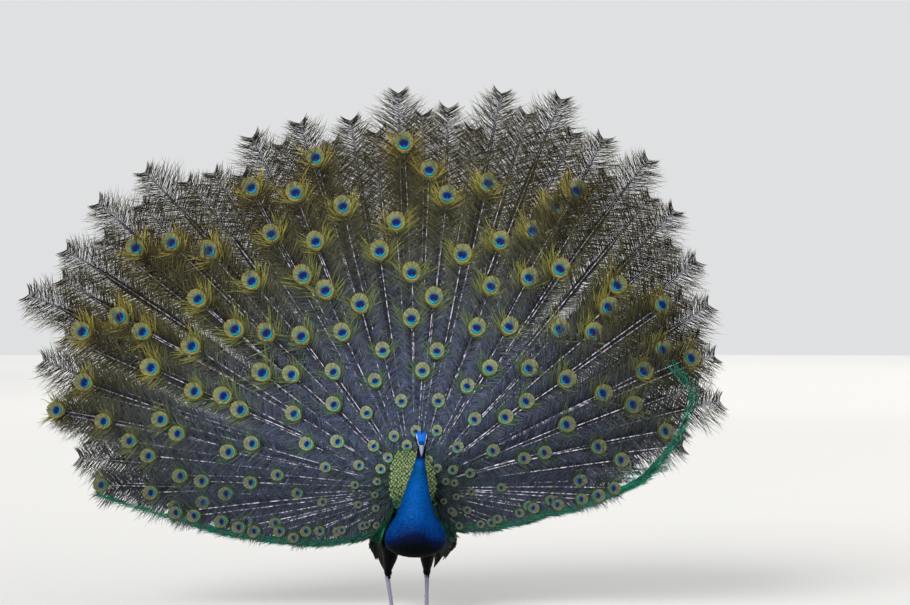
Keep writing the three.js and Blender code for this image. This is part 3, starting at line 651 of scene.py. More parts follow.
def growBarbs(feathers):   # all the barbs of a few feathers as one heap
    heap = newHeap()
    roots = [np.repeat(barbRoots(feather), 2) for feather in feathers]
    index = np.repeat(np.arange(len(feathers)), [len(places) for places in roots])
    n = len(index)
    side = np.tile([1.0, -1.0], n // 2)
    along = np.concatenate(roots) + dice.uniform(-0.001, 0.001, n)
    end, size, lift, angle0, sway, kind = ofEach(
        feathers, index, "end", "size", "lift", "angle", "sway", "kind")
    place, *axes = fanFrame(swayed(angle0, sway, along / end), along)
    front = axes[2]
    toEnd = end - along
    high = ease(barbs["looseFrom"] + 0.04, barbs["looseFrom"] - 0.16, toEnd)
    low = blend(*barbs["lowLength"], ease(0.1, 0.6, along))
    top = blend(*barbs["highLength"], ease(0.4, 1.1, along))
    length = blend(low, top, high) * dice.uniform(0.75, 1.15, n)
    leaves, ends = barbTurn["plain"]
    first = np.radians(dice.normal(leaves, 1, n) + dice.normal(0, 6, n) * high)
    last = np.radians(dice.normal(ends, 4, n) + (barbTurn["looseEnd"] + dice.normal(0, 16, n)) * high)
    fish = kind == "fishtail"
    forked = ease(0.020, 0.012, toEnd) * fish
    airy = airyShare(angle0)
    wispy = ease(0.5 * airy, 0.2 * airy, toEnd) * fish * (1 - forked)
    leaves, ends = barbTurn["fork"]
    first = blend(first, np.radians(leaves), forked)
    last = blend(last, np.radians(ends), forked)
    first = first + wispy * np.radians(dice.normal(2, 7, n))
    last = last + wispy * np.radians(dice.normal(0, 15, n))
    length = blend(length, 0.044 * dice.uniform(0.85, 1.15, n), forked)
    length = length * blend(1, dice.uniform(0.9, 1.6, n) * ease(-0.10, 0.16, toEnd), wispy)
    spotted = kind == "spot"
    below = (toEnd - 1.25 * size) / np.maximum(size, 1e-4)
    nearSpot = ease(2.2, 0.2, below) * spotted
    glowing = ease(6, 0.5, below) * spotted
    leaves, ends = barbTurn["nearSpot"]   # the last barbs sweep up round the eye spot
    first = blend(first, np.radians(leaves), nearSpot)
    last = blend(last, np.radians(dice.normal(ends, 17, n)), nearSpot)
    length = blend(length, size * 4.6 * dice.uniform(0.65, 1.3, n), nearSpot)
    sword = kind == "sword"
    fringe = ease(0.62, 0.2, toEnd / end)
    under = side * np.sign(angle0) > 0   # the side of a sword feather that hangs below the fan
    swordLength = blend(0.014, np.where(under, 0.030, 0.020), fringe) * dice.uniform(0.8, 1.1, n)
    swordLength = swordLength * blend(0.55, 1.0, ease(0.0, 0.03, toEnd))
    length = np.where(sword, swordLength, length)
    first = np.where(sword, np.radians(38), first)
    last = np.where(sword, np.radians(dice.normal(24, 8, n)), last)
    puff = 0.05 + dice.normal(0, 1, (2, n)) * blend(0.03, 0.10, high)
    start = barbWay(axes, side, first, puff[0])
    finish = barbWay(axes, side, last, puff[1], sag=0.10)
    rooted = place + front * (lift + dice.uniform(-0.0004, 0.0008, n))[:, None]
    width = barbs["width"] * dice.uniform(0.75, 1.2, n) * np.where(sword, 0.95, blend(1.1, 1.4, high))
    width = width * blend(1, 0.72, np.maximum(forked, wispy))
    twist = dice.normal(0, 1, n) * blend(0.15, 0.5, high)
    strip = 1 / len(feathers)
    across = (index + 0.5) * strip
    placeRoot = np.stack([0.01 + along * 0.62, across], 1)
    placeWay = np.stack([np.full(n, 0.006), side * strip * 0.45], 1)
    lock = (np.floor(along / barbs["lock"]) * 31 + index * 1009 + side * 7).astype(int) % barbs["locks"]
    tint = np.clip(blend(dice.beta(1.6, 1.6, n), dice.uniform(0, 1, barbs["locks"])[lock], 0.6), 0, 1)
    golden = ease(0.25, 0.95, along)
    glow = np.clip((nearSpot * 0.85 + glowing * 0.25 + 0.15 * high) * blend(0.35, 1, golden)
                   * dice.uniform(0.25, 1.3, n), 0, 1)
    tipGlow = np.array([0, 0, 0.5, 0.5, 0.85, 0.85, 1.0])
    run = np.array([0, 0, 0.35, 0.35, 0.65, 0.65, 0.85]) * length[:, None]
    relative = np.where(sword, 1 - toEnd / end, along / fan["shaft"] * sideCool(angle0))[:, None]
    reach = relative + np.where(sword[:, None], 0, run / fan["shaft"])
    shade = sideShade(np.degrees(angle0)) * blend(0.62, 1.28, dice.uniform(0, 1, barbs["locks"])[lock])
    shade = shade * dice.uniform(0.85, 1.1, n) * blend(1, 0.3, forked) * blend(1, 0.7, wispy)
    marks = {"reach": reach, "glow": glow[:, None] * (0.3 + 0.7 * tipGlow), "tint": tint[:, None],
             "shade": shade[:, None]}
    layBarbs(heap, rooted, start, finish, front, length, width, twist, placeRoot, placeWay, marks)
    return heap


shaft = {"root": 0.0020, "tip": 0.0018, "stations": 26, "from": 0.05, "rises": (0.05, 0.17), "proud": 0.0034}


def growShafts(feathers):
    heap = newHeap()
    stations = np.linspace(0, 1, shaft["stations"])
    for number, feather in enumerate(feathers):
        end = feather["end"] + (0.4 * feather["size"] if feather["kind"] == "spot" else 0)
        along = blend(shaft["from"], end, stations)
        place, _, sideways, front = fanFrame(swayed(feather["angle"], feather["sway"], along / end), along)
        half = blend(shaft["root"], shaft["tip"], stations ** 0.8)
        half[[0, -1]] = 0.0001
        path = place + front * ((feather["lift"] + shaft["proud"]) * ease(*shaft["rises"], along))[:, None]
        across = np.stack([0.01 + along * 0.62, np.full(len(along), (number + 0.5) / len(feathers))], 1)
        marks = {"reach": np.clip(along / fan["shaft"], 0, 1)[None]}
        sweepTubes(heap, path[None], sideways[None], front[None], half[None], half[None] * 0.8, 4,
                   across[None], marks)
    return heap


web = {
    "stations": 40, "from": 0.05, "until": 0.96, "half": 0.0135, "narrow": 0.0044, "behind": 0.0022,
    "fades": {"spot": (-0.02, 0.15), "fishtail": (0.07, 0.30)}, "ridge": 0.0012, "edge": 0.0006,
}


def growWebs(feathers):   # a soft ragged dark band along each shaft, partly painted shade for the gaps between feathers
    heap = newHeap()
    chosen = [f for f in feathers if f["kind"] != "sword"]
    for number, feather in enumerate(chosen):
        k = web["stations"]
        until = feather["end"] * web["until"] - feather["size"]
        along = np.linspace(web["from"], until, k)
        angle = swayed(feather["angle"], feather["sway"], along / feather["end"])
        place, _, sideways, front = fanFrame(angle, along)
        fades = np.array(web["fades"][feather["kind"]]) * airyShare(feather["angle"])
        wide = web["half"] * dice.uniform(0.55, 1.2, (2, k)) * ease(0.0, 0.12, along) * ease(
            *fades, until - along)
        wide = np.maximum(wide, web["narrow"] * ease(0.0, 0.08, until - along + 0.01))
        back = place + front * (feather["lift"] - web["behind"])
        columns = [back - sideways * wide[0][:, None] - front * web["edge"], back + front * web["ridge"],
                   back + sideways * wide[1][:, None] - front * web["edge"]]
        points = np.stack(columns, axis=1).reshape(1, k * 3, 3)
        where = np.stack([np.repeat(0.01 + along * 0.62, 3),
                          (number + 0.5 + np.tile([-0.45, 0, 0.45], k)) / len(chosen)], 1)
        marks = {"strand": np.tile([1.0, 0.0, 1.0], k)[None],
                 "reach": np.repeat(along / fan["shaft"], 3)[None]}
        pour(heap, points, bandQuads(k), [], where[None], marks)
    return heap


spotVane = {   # lengths are in sizes of the eye spot
    "barbs": 27, "radius": (1.72, 1.84), "middle": 0.44, "smallest": 1.28, "proud": 0.0085,
    "along": [0, 0.3, 0.58, 0.82, 1.0], "half": [0.55, 0.9, 0.9, 0.6], "width": 0.145,
}


def growSpots(feathers):   # the eye spots, each a vane of barbs that fan out to an oval outline
    heap = newHeap()
    spotted = [f for f in feathers if f["kind"] == "spot"]
    grid = math.ceil(math.sqrt(len(spotted)))
    count = spotVane["barbs"]
    t = np.array(spotVane["along"])[None, :, None]
    share = (np.arange(count) + 0.5) / count
    turn = np.radians(blend(4, 168, share ** 1.05))   # from the tip round to the base
    for number, feather in enumerate(spotted):
        middle, tangent, sideways, front = fanFrame(
            np.array([feather["angle"]]), np.array([feather["end"]]))
        size = feather["size"]
        degrees = math.degrees(feather["angle"])
        # the copper round a small eye spot is wider for its size
        swell = np.interp(size, spots["size"], (spotVane["smallest"], 1.0))
        wide, tall = np.array(spotVane["radius"]) * swell
        half = np.array(spotVane["half"])[None, :, None] * spotVane["width"] * swell
        for side in (1, -1):
            ragged = dice.uniform(0.97, 1.07, count)
            ends = np.stack([side * wide * np.sin(turn), spotVane["middle"] + tall * np.cos(turn)], 1)
            ends = ends * ragged[:, None]
            feet = np.stack([np.zeros(count), blend(1.5, -1.6, share ** 0.9) * swell], 1)
            elbows = np.stack([ends[:, 0] * 0.72, blend(feet[:, 1], ends[:, 1], 0.42)], 1)
            flat = (feet[:, None] * (1 - t) ** 2 + elbows[:, None] * 2 * t * (1 - t)
                    + ends[:, None] * t ** 2)
            way = (elbows - feet)[:, None] * (1 - t) + (ends - elbows)[:, None] * t
            normal = unit(np.stack([way[..., 1], -way[..., 0]], -1))
            edges = [flat[:, :4] - normal[:, :4] * half, flat[:, :4] + normal[:, :4] * half]
            local = np.concatenate([np.stack(edges, 2).reshape(count, 8, 2), flat[:, 4:]], 1)
            cup = 0.0016 - 0.0022 * ((local[..., 0] / wide) ** 2 + ((local[..., 1] - 0.4) / tall) ** 2) / 2
            tilt = dice.normal(0, 0.00012, (count, 1)) * np.array([-1, 1] * 4 + [0])
            rise = feather["lift"] + spotVane["proud"] + cup * size / 0.016 + tilt
            points = (middle + sideways * local[..., :1] * size + tangent * local[..., 1:] * size
                      + front * rise[..., None])
            cell = np.array([number % grid, number // grid]) / grid
            where = cell + (0.5 + local * [0.22, 0.16] + [0, -0.08]) / grid
            marks = {"spotAcross": local[..., 0], "spotAlong": local[..., 1], "swell": swell,
                     "tint": dice.uniform(0, 1, (count, 1)), "shade": sideShade(degrees),
                     "reach": feather["end"] / fan["shaft"] * blend(1, 0.45, ease(55, 92, abs(degrees)))}
            pour(heap, points, [[0, 1, 3, 2], [2, 3, 5, 4], [4, 5, 7, 6]], [[6, 7, 8]], where, marks)
    return heap


fringe = {   # the emerald band along the lower edge: where it runs, in degrees from straight up
    "left": (-151, -91), "right": (147, 66), "step": 0.0010, "deep": 0.046, "long": (0.030, 0.058),
    "wide": 0.0016, "lift": 0.014, "thins": (0.42, 0.78),
    "drawnIn": {"angle": [66, 80, 92], "share": [0.84, 0.93, 1.0]},
}


def fringeReach(degrees):   # high on the bird's left the fringe lies well inside the rim
    share = np.interp(degrees, fringe["drawnIn"]["angle"], fringe["drawnIn"]["share"])
    return fanReach(degrees) * np.where(degrees > 0, share, 1.0)


def growFringe(side):
    heap = newHeap()
    first, last = fringe[side]
    angles = np.linspace(first, last, 900)
    edge = fanFrame(np.radians(angles), fringeReach(angles))[0]
    run = np.append(0, np.cumsum(np.linalg.norm(np.diff(edge, axis=0), axis=1)))
    n = int(run[-1] / fringe["step"]) * 5
    at = dice.uniform(0, run[-1], n)
    degrees = np.interp(at, run, angles)
    share = at / run[-1]
    keep = dice.uniform(0, 1, n) < blend(1, 0.12, ease(*fringe["thins"], share))
    degrees, share, n = degrees[keep], share[keep], int(keep.sum())
    inset = fringe["deep"] * dice.uniform(0, 1, n) ** 0.8 * blend(1.0, 0.8, share)
    reach = fringeReach(degrees)
    place, _, _, front = fanFrame(np.radians(degrees), reach - inset)
    onward = degrees + (last - first) * 0.004
    ahead = fanFrame(np.radians(onward), fringeReach(onward))[0]
    along = unit(ahead - fanFrame(np.radians(degrees), reach)[0])
    below = unit(np.cross(front, along)) * (1 if side == "left" else -1)
    start, finish = (
        unit(along + below * dice.normal(*drop, (n, 1)) + front * dice.normal(*puff, (n, 1)))
        for drop, puff in (((0.10, 0.08), (0.04, 0.05)), ((0.32, 0.34), (0.02, 0.10))))
    length = dice.uniform(*fringe["long"], n) * blend(0.7, 1.3, share)
    rooted = place + front * (fringe["lift"] + dice.uniform(-0.002, 0.002, n))[:, None]
    where = np.stack([0.03 + 0.93 * share, 0.03 + 0.93 * inset / (fringe["deep"] * 1.1)], 1)
    layBarbs(heap, rooted, start, finish, front, length, np.full(n, fringe["wide"]),
             dice.normal(0, 0.5, n), where, np.tile([0.006, 0.002], (n, 1)),
             {"reach": np.clip(0.3 + share * 0.8 + dice.normal(0, 0.15, n), 0, 1)[:, None],
              "tint": dice.beta(1.0, 1.0, (n, 1))})
    return heap


# Short scale feathers cover the roots of the train all round the saddle.
scaleShape = {
    "along": [0, 0.35, 0.65, 0.86, 1], "outline": [0.5, 1, 1, 0.7, 0], "lift": 0.0, "curl": 0.05,
    "camber": 0.10,
}
collar = {"from": -152, "to": 150, "rows": (0.05, 0.118), "count": 430, "long": (24, 40), "wide": (13, 19)}
collarColours = {
    "tone": [(0.0, "#5f8f70"), (0.4, "#3d8478"), (1.0, "#41607a")],
    "rim": [(0.0, "#ffffff"), (0.5, "#dfe4da"), (0.75, "#8f9a8c"), (1.0, "#39463f")],
    "tint": [(0.0, "#8fa8a8"), (0.5, "#d8d8cc"), (1.0, "#fff0cf")], "barbs": 40.0}


def growCollar():
    heap = newHeap()
    n = collar["count"]
    share = np.sort(dice.uniform(0, 1, n) ** 0.8)[::-1]   # the outer ones first, under the inner ones
    degrees = dice.uniform(collar["from"], collar["to"], n)
    along = np.minimum(blend(*collar["rows"], share), fanReach(degrees) - 0.05)
    place, tangent, sideways, front = fanFrame(np.radians(degrees), along)
    long = blend(*collar["long"], share) / 1000 * dice.uniform(0.85, 1.15, n)
    wide = blend(*collar["wide"], share) / 1000
    rooted = place + front * (0.010 - 0.006 * share)[:, None]
    ways = unit(tangent + front * 0.10 + sideways * dice.normal(0, 0.08, n)[:, None])
    where = np.stack([(degrees - collar["from"]) / (collar["to"] - collar["from"]), 0.02 + 0.96 * share], 1)
    layVanes(heap, rooted, ways, squareTo(ways, front), long, wide, scaleShape, where,
             {"tone": np.clip(share + dice.normal(0, 0.12, n), 0, 1)[:, None],
              "tint": dice.beta(2, 2, (n, 1))})
    return heap


flare = {   # how it leaves the shaft and how it ends, in degrees: the middle and the spread
    "from": 0.33, "each": 30, "long": (0.064, 0.116), "fullSize": 0.0186, "width": 0.0021, "lift": 0.0070,
    "leaves": (62, 9), "ends": (34, 20), "below": (-0.4, 2.8),
}


def growFlares(feathers):   # loose golden barbs that spring out round each eye spot
    heap = newHeap()
    chosen = [f for f in feathers if f["kind"] == "spot" and f["end"] > flare["from"]]
    n = len(chosen) * flare["each"]
    index = np.repeat(np.arange(len(chosen)), flare["each"])
    end, size, lift, angle = ofEach(chosen, index, "end", "size", "lift", "angle")
    below = dice.uniform(*flare["below"], n)
    along = end - below * size
    side = np.where(np.arange(n) % 2 == 0, 1.0, -1.0)
    place, *axes = fanFrame(angle, along)
    front = axes[2]
    first = np.radians(dice.normal(*flare["leaves"], n))
    last = np.radians(dice.normal(*flare["ends"], n))
    length = dice.uniform(*flare["long"], n) * size / flare["fullSize"]
    start = barbWay(axes, side, first, dice.normal(0.05, 0.06, n))
    finish = barbWay(axes, side, last, dice.normal(0.06, 0.14, n))
    rooted = place + front * (lift + flare["lift"] - 0.0035 * (below < 1.6))[:, None]
    where = np.stack([0.02 + 0.95 * (index + dice.uniform(0.1, 0.9, n)) / len(chosen),
                      0.04 + 0.92 * dice.uniform(0, 1, n)], 1)
    degrees = np.degrees(angle)[:, None]
    layBarbs(heap, rooted, start, finish, front, length, np.full(n, flare["width"]),
             dice.normal(0, 0.4, n), where, np.stack([np.zeros(n), side * 0.003], 1),
             {"reach": (along / fan["shaft"] * sideCool(angle))[:, None],
              "glow": dice.uniform(0.75, 1.2, (n, 1)) * blend(1, 0.6, ease(55, 90, np.abs(degrees))),
              "tint": dice.beta(1.6, 1.6, (n, 1)), "shade": sideShade(degrees)})
    return heap


train = makeFeathers()
materials = {
    "barbs": trainBarbMaterial(), "web": trainWebMaterial(), "shaft": shaftMaterial(),
    "spot": eyeSpotMaterial(), "sword": swordMaterial(),
}
trainNodes = ["train_left", "train_upper_left", "train_top", "train_upper_right", "train_right"]
swordNodes = ["sword_feathers_left", "sword_feathers_right"]
mostBarbs = 38000   # in one piece, at five triangles a barb
groups = [[]]
room = mostBarbs
for feather in train:
    if feather["kind"] == "sword":
        continue
    need = 2 * len(barbRoots(feather))
    if need > room:
        groups.append([])
        room = mostBarbs
    groups[-1].append(feather)
    room -= need
for number, group in enumerate(groups):
    makePiece(f"train_barbs_{number + 1}", growBarbs(group), materials["barbs"], trainNodes)
swords = [f for f in train if f["kind"] == "sword"]
makePiece("sword_barbs", growBarbs(swords), materials["sword"], swordNodes)
makePiece("train_shafts", growShafts(train), materials["shaft"], trainNodes + swordNodes)
makePiece("train_webs_painted_shade", growWebs(train), materials["web"], trainNodes)
makePiece("eye_spots", growSpots(train), materials["spot"], trainNodes)
makePiece("golden_flares", growFlares(train), materials["barbs"], trainNodes)
for side in ("left", "right"):
    makePiece("emerald_fringe_" + side, growFringe(side), materials["sword"], swordNodes)
materials["collar"] = scaleMaterial("bronze-green scale feather", collarColours, {
    "Metallic": 0.2, "Roughness": 0.42, "IOR": 1.5, "Specular IOR Level": 0.3})
makePiece("train_collar", growCollar(), materials["collar"], trainNodes)
print(f"peacock: {len(train)} long feathers, {sum(f['kind'] == 'spot' for f in train)} with eye spots")


# The flesh is one closed skin: the CAD's head, neck, trunk and thighs joined, remeshed and smoothed.
flesh = {   # sizes in millimetres
    "nodes": ["head", "neck_upper", "neck_lower", "trunk", "thigh_left", "thigh_right"],
    "voxel": 2.4, "rounds": 60, "faceDepth": 0.3, "bodyDepth": 1.6, "inset": 0.5, "headZones": (46, 27),
}


def surfaceOf(mesh):   # points, normals and triangles of a mesh
    mesh.calc_loop_triangles()
    return (readAll(mesh.vertices, "co", float, 3), readAll(mesh.vertex_normals, "vector", float, 3),
            readAll(mesh.loop_triangles, "vertices", int, 3))


def closedSurface(names, voxel, grow=0.5):   # CAD nodes joined and remeshed as one mesh
    points, tris = [], []
    count = 0
    for name in names:
        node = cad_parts[name]
        own, _, faces = surfaceOf(node.data)
        own = own @ np.array(node.matrix_world.to_3x3()).T + np.array(node.matrix_world.translation)
        low, high = own.min(axis=0), own.max(axis=0)
        middle, half = (low + high) / 2, (high - low) / 2
        points.append(middle + (own - middle) * (1 + grow / 1000 / half))   # so that cut faces overlap
        tris.append(faces + count)
        count += len(own)
    mesh = bpy.data.meshes.new("joined")
    mesh.from_pydata(np.concatenate(points), [], np.concatenate(tris).tolist())
    joined = bpy.data.objects.new("joined", mesh)
    bpy.context.scene.collection.objects.link(joined)
    remesh = joined.modifiers.new("remesh", "REMESH")
    remesh.mode = "VOXEL"
    remesh.voxel_size = voxel / 1000
    graph = bpy.context.evaluated_depsgraph_get()
    done = bpy.data.meshes.new_from_object(joined.evaluated_get(graph))
    bpy.data.objects.remove(joined)
    bpy.data.meshes.remove(mesh)
    return done


def keepBiggest(shape):   # drops anything the remesh left loose inside
    left, biggest = set(shape.verts), set()
    while left:
        island, front = set(), [left.pop()]
        while front:
            vert = front.pop()
            island.add(vert)
            beside = {edge.other_vert(vert) for edge in vert.link_edges} & left
            left -= beside
            front.extend(beside)
        biggest = max(biggest, island, key=len)
    bmesh.ops.delete(shape, geom=[v for v in shape.verts if v not in biggest], context="VERTS")


def moveTo(mesh, points):
    mesh.vertices.foreach_set("co", points.ravel())
    mesh.update()


def soften(mesh, rounds):   # smooths away facets; the form's own wide curves are given back
    points, _, _ = surfaceOf(mesh)
    a, b = readAll(mesh.edges, "vertices", int, 2).T
    degree = (np.bincount(a, minlength=len(points)) + np.bincount(b, minlength=len(points)))[:, None]

    def spread(values, steps):
        n = len(values)
        for _ in range(steps):
            around = np.stack([np.bincount(a, values[b, i], n) + np.bincount(b, values[a, i], n)
                               for i in range(3)], axis=1) / degree
            values = values + (around - values) * 0.6
        return values

    smooth = spread(points, rounds)
    moveTo(mesh, smooth - spread(smooth - points, rounds * 2))


# The spine runs from the rump forward to the breast, up the neck and out to the bill.
spine = np.array([birdAt(*p) for p in (
    (-3, 190, 400), (-2, 130, 362), (-1, 60, 305), (0, 0, 272), (0, -60, 262), (0, -98, 300), (2, -90, 368),
    (9, -84, 419), (14, -75, 459), (18, -64, 512), (20, -63, 552), (20, -78, 588), (20, -112, 562))])


def alongSpine(points):   # share of the way from rump to bill, turn round the spine, the spine's way
    steps = np.diff(spine, axis=0)
    long = np.linalg.norm(steps, axis=1)
    before = np.append(0, np.cumsum(long))
    ways = steps / long[:, None]
    bends = unit(np.concatenate([ways[:1], ways[:-1] + ways[1:], ways[-1:]]))
    nearest = np.full(len(points), 9.0)
    share, way, off = np.zeros(len(points)), np.zeros(points.shape), np.zeros(points.shape)
    for i in range(len(steps)):
        t = np.clip((points - spine[i]) @ ways[i] / long[i], 0, 1)
        gap = points - spine[i] - t[:, None] * steps[i]
        distance = np.linalg.norm(gap, axis=1)
        closer = distance < nearest
        nearest = np.where(closer, distance, nearest)
        share = np.where(closer, (before[i] + t * long[i]) / before[-1], share)
        way = np.where(closer[:, None], unit(blend(bends[i], bends[i + 1], t[:, None])), way)
        off = np.where(closer[:, None], gap, off)
    side = np.array([1.0, 0, 0])
    turn = np.arctan2(off @ side, np.sum(off * np.cross(way, side), axis=1)) / (2 * math.pi) + 0.5
    return share, turn, way


def unwrap(points):   # places on the skin's own unwrap: the turn round the spine by the way along it
    share, turn, _ = alongSpine(points)
    return np.stack([turn, share], axis=1)


def fill(places, margin=0.02):   # spreads a piece's places over the whole square
    low, high = places.min(axis=0), places.max(axis=0)
    return margin + (1 - 2 * margin) * (places - low) / np.maximum(high - low, 1e-6)


# Bare white skin runs over and under each eye, with a dark streak through the eye between them.
face = {   # across, along and out on the head, in millimetres
    "above": [(8.2, 30, 4), (11.2, 24, 7.5), (13.8, 15, 12), (15.2, 4, 13.5), (16, -6, 12.5), (15.5, -14, 9)],
    "below": [(9, 28, -4), (15, 16, -7), (18.5, 5, -8), (18.5, -6, -7.5)],
    "half": {"above": 2.5, "below": 3.2}, "soft": 0.7, "wrinkle": 0.16, "wrinkleStep": 1.9,
    "lidAngle": 49, "lidRadius": 6.35, "lidHalf": 0.55, "lidSides": 10, "lidSteps": 56,
    "socket": 12, "swell": 1.9, "axis": (0.92, 0.34, 0.12),
}


def fromPath(points, path):   # distance from a line of short steps
    path = np.array(path, float)
    nearest = np.full(len(points), 99.0)
    for a, b in zip(path[:-1], path[1:]):
        t = np.clip((points - a) @ (b - a) / ((b - a) @ (b - a)), 0, 1)
        nearest = np.minimum(nearest, np.linalg.norm(points - a - t[:, None] * (b - a), axis=1))
    return nearest


def whiteMark(points):   # 1 on the bare white stripes
    own = inHead(points)
    own[:, 0] = np.abs(own[:, 0])
    white = np.zeros(len(points))
    for name, half in face["half"].items():
        inside = ease(half + face["soft"], half - face["soft"], fromPath(own, face[name]))
        white = np.maximum(white, inside)
    return white


toneAt = {   # tones up the front of the bird, and how much lower they lie at its sides
    "height": [225, 247, 266, 292, 340, 440, 505, 552], "sideDrop": 14,
    "tone": [0, 0.09, 0.24, 0.36, 0.50, 0.62, 0.7, 0.76],
}


def plumageTone(points):   # black belly, cobalt breast and neck, dark teal throat, azure crown
    x, y, z = onBird(points).T
    across, along, out = inHead(points).T
    height = z + toneAt["sideDrop"] * ease(35, 85, np.abs(x + 7))
    tone = np.interp(height, toneAt["height"], toneAt["tone"])
    # painted sheen: the middle of the breast is darker so that its sides look brighter, as the blue film
    # looks when seen at a slant
    tone = tone * blend(1, 0.8, ease(60, 15, np.abs(x + 7)) * ease(350, 290, z))
    tone = tone * blend(1, 0.25, ease(-62, 0, y) * ease(330, 280, z)) * blend(1, 0.1, ease(60, 110, y))
    onCrown = ease(3, 7.5, out) * ease(-34, -20, along) * ease(18, 14.5, np.abs(across))
    nape = ease(-14, -22, along) * ease(548, 556, z)
    streak = ease(11, 14, np.abs(across)) * ease(12, 9, np.abs(out - 2)) * ease(-24, -10, along)
    low = ease(-5, -10, out) * ease(-16, 2, along)
    near = ease(56, 30, np.linalg.norm(inHead(points), axis=1))
    throat = ease(502, 540, z) * ease(-46, -58, y) * ease(40, 24, out)
    tone = blend(tone, 0.22, throat)
    tone = blend(tone, 0.84, nape)
    tone = blend(tone, 0.76, ease(-4, 2, out) * ease(22, 28, along))
    tone = blend(tone, 1.0, onCrown * near * ease(26, 19, along))
    return blend(blend(tone, 0.12, streak * near), 0.16, low * near)


def eyeAxes(side):   # the eye's middle, and its own outward, forward and upward axes
    x, y, z = head["eye"]
    across, along, out = face["axis"]
    outWay = unit(np.array([outward[side] * across, along, out]) @ headAxes)
    upWay = unit(headAxes[2] - outWay * (headAxes[2] @ outWay))
    return onHead(outward[side] * x, y, z), outWay, np.cross(outWay, upWay) * outward[side], upWay


def makeSkin():
    mesh = closedSurface(flesh["nodes"], flesh["voxel"])
    soften(mesh, flesh["rounds"])
    shape = bmesh.new()
    shape.from_mesh(mesh)
    keepBiggest(shape)
    for zone in flesh["headZones"]:   # finer faces round the head, finer again round the face
        near = [f for f in shape.faces if np.linalg.norm(inHead(np.array([f.calc_center_median()]))) < zone]
        edges = {edge for f in near for edge in f.edges}
        bmesh.ops.subdivide_edges(shape, edges=list(edges), cuts=1, use_grid_fill=True, smooth=0.3)
    shape.to_mesh(mesh)
    shape.free()
    soften(mesh, 3)
    points, normals, _ = surfaceOf(mesh)
    nearFace = ease(46, 24, np.linalg.norm(inHead(points), axis=1))
    depth = blend(flesh["bodyDepth"], flesh["faceDepth"], nearFace) + flesh["inset"]
    points = points - normals * depth[:, None] / 1000
    white = whiteMark(points)
    for side in outward:
        middle, outWay, _, _ = eyeAxes(side)
        gap = points - middle
        radius = np.linalg.norm(gap, axis=1) * 1000
        angle = np.degrees(np.arccos(np.clip(gap @ outWay * 1000 / radius, -1, 1)))
        ball = blend(head["eyeRadius"] - 2, head["eyeRadius"] + 0.6, ease(40, 52, angle))
        socketed = np.where(angle < 56, ball, np.maximum(radius, ball))
        inside = ease(face["socket"], 8.5, radius) * ease(100, 84, angle)
        folds = np.sin(radius / face["wrinkleStep"] * 2 * math.pi + 1.3 * np.sin(angle * 0.1))
        newRadius = blend(radius, socketed, inside)
        newRadius = newRadius + face["wrinkle"] * folds * ease(50, 60, angle) * ease(13, 9, radius)
        points = np.where((radius < face["socket"] + 2)[:, None],
                          middle + unit(gap) * newRadius[:, None] / 1000, points)
        ring = np.linalg.norm(gap - (gap @ outWay)[:, None] * outWay, axis=1) * 1000
        swell = face["swell"] * ease(20, 8, ring) * ease(5.0, 6.4, ring) * (gap @ outWay > -0.004)
        points = points + outWay * (swell / 1000)[:, None]
    moveTo(mesh, points)
    print(f"peacock: skin remeshed, {len(mesh.vertices)} points")
    return mesh, white


# Feathers are scattered with a spacing of their own for each place, one to a small cell.
def scatterOn(points, normals, tris, spacingAt):
    corner = points[tris]
    area = np.linalg.norm(np.cross(corner[:, 1] - corner[:, 0], corner[:, 2] - corner[:, 0]), axis=1) / 2
    spacing = spacingAt(corner.mean(axis=1)) / 1000
    weight = np.where(spacing > 0, area / np.maximum(spacing, 1e-5) ** 2, 0)
    n = int(weight.sum() * 3.5)
    pick = dice.choice(len(tris), n, p=weight / weight.sum())
    a, b = dice.random((2, n))
    over = a + b > 1
    a, b = np.where(over, 1 - a, a), np.where(over, 1 - b, b)
    parts = np.stack([1 - a - b, a, b], axis=1)[:, :, None]
    place = np.sum(corner[pick] * parts, axis=1)
    out = unit(np.sum(normals[tris][pick] * parts, axis=1))
    level = np.round(np.log2(spacing[pick]) * 3)
    cell = np.floor(place / (2.0 ** (level / 3))[:, None])
    _, first = np.unique(np.column_stack([level, cell]).astype(int), axis=0, return_index=True)
    return place[first], out[first], spacing[pick][first]


def coatFlow(points):   # which way the feathers lie: back along the spine, and down the thighs
    _, _, way = alongSpine(points)
    down = ease(232, 205, onBird(points)[:, 2])[:, None]
    return unit(blend(-way, np.array([0, 0.25, -1.0]), down))


def layCoat(heap, place, out, flow, sizes, shape, places, marks, tilt=0.055, stray=0.10):
    n = len(place)
    flow = flow + dice.normal(0, stray, (n, 3))
    way = unit(squareTo(out, flow) + out * (tilt + dice.normal(0, 0.02, n))[:, None])
    long, wide = sizes
    layVanes(heap, place, way, out, long * dice.uniform(0.85, 1.15, n), wide * dice.uniform(0.85, 1.1, n),
             shape, fill(places), {"tint": dice.beta(2, 2, (n, 1)), **marks})


coat = {   # spacing in millimetres by height and on the head; a vane is so many spacings long and wide
    "height": [205, 235, 300, 400, 500, 545], "spacing": [4.4, 5.2, 4.4, 3.5, 2.8, 2.4], "head": 1.35,
    "long": 2.8, "wide": 1.6, "smallBelow": 2.2, "blackBelow": 262,
    "shape": {"along": [0, 0.35, 0.7, 0.9, 1], "outline": [0.5, 1, 0.85, 0.5, 0], "lift": 0.0002,
              "curl": 0.04, "camber": 0.08},
    "small": {"along": [0, 0.55, 1], "outline": [0.6, 1, 0], "lift": 0.0003, "curl": 0.10, "camber": 0.06},
}


def coatSpacing(points):
    spacing = np.interp(onBird(points)[:, 2], coat["height"], coat["spacing"])
    return blend(coat["head"], spacing, ease(22, 48, np.linalg.norm(inHead(points), axis=1)))


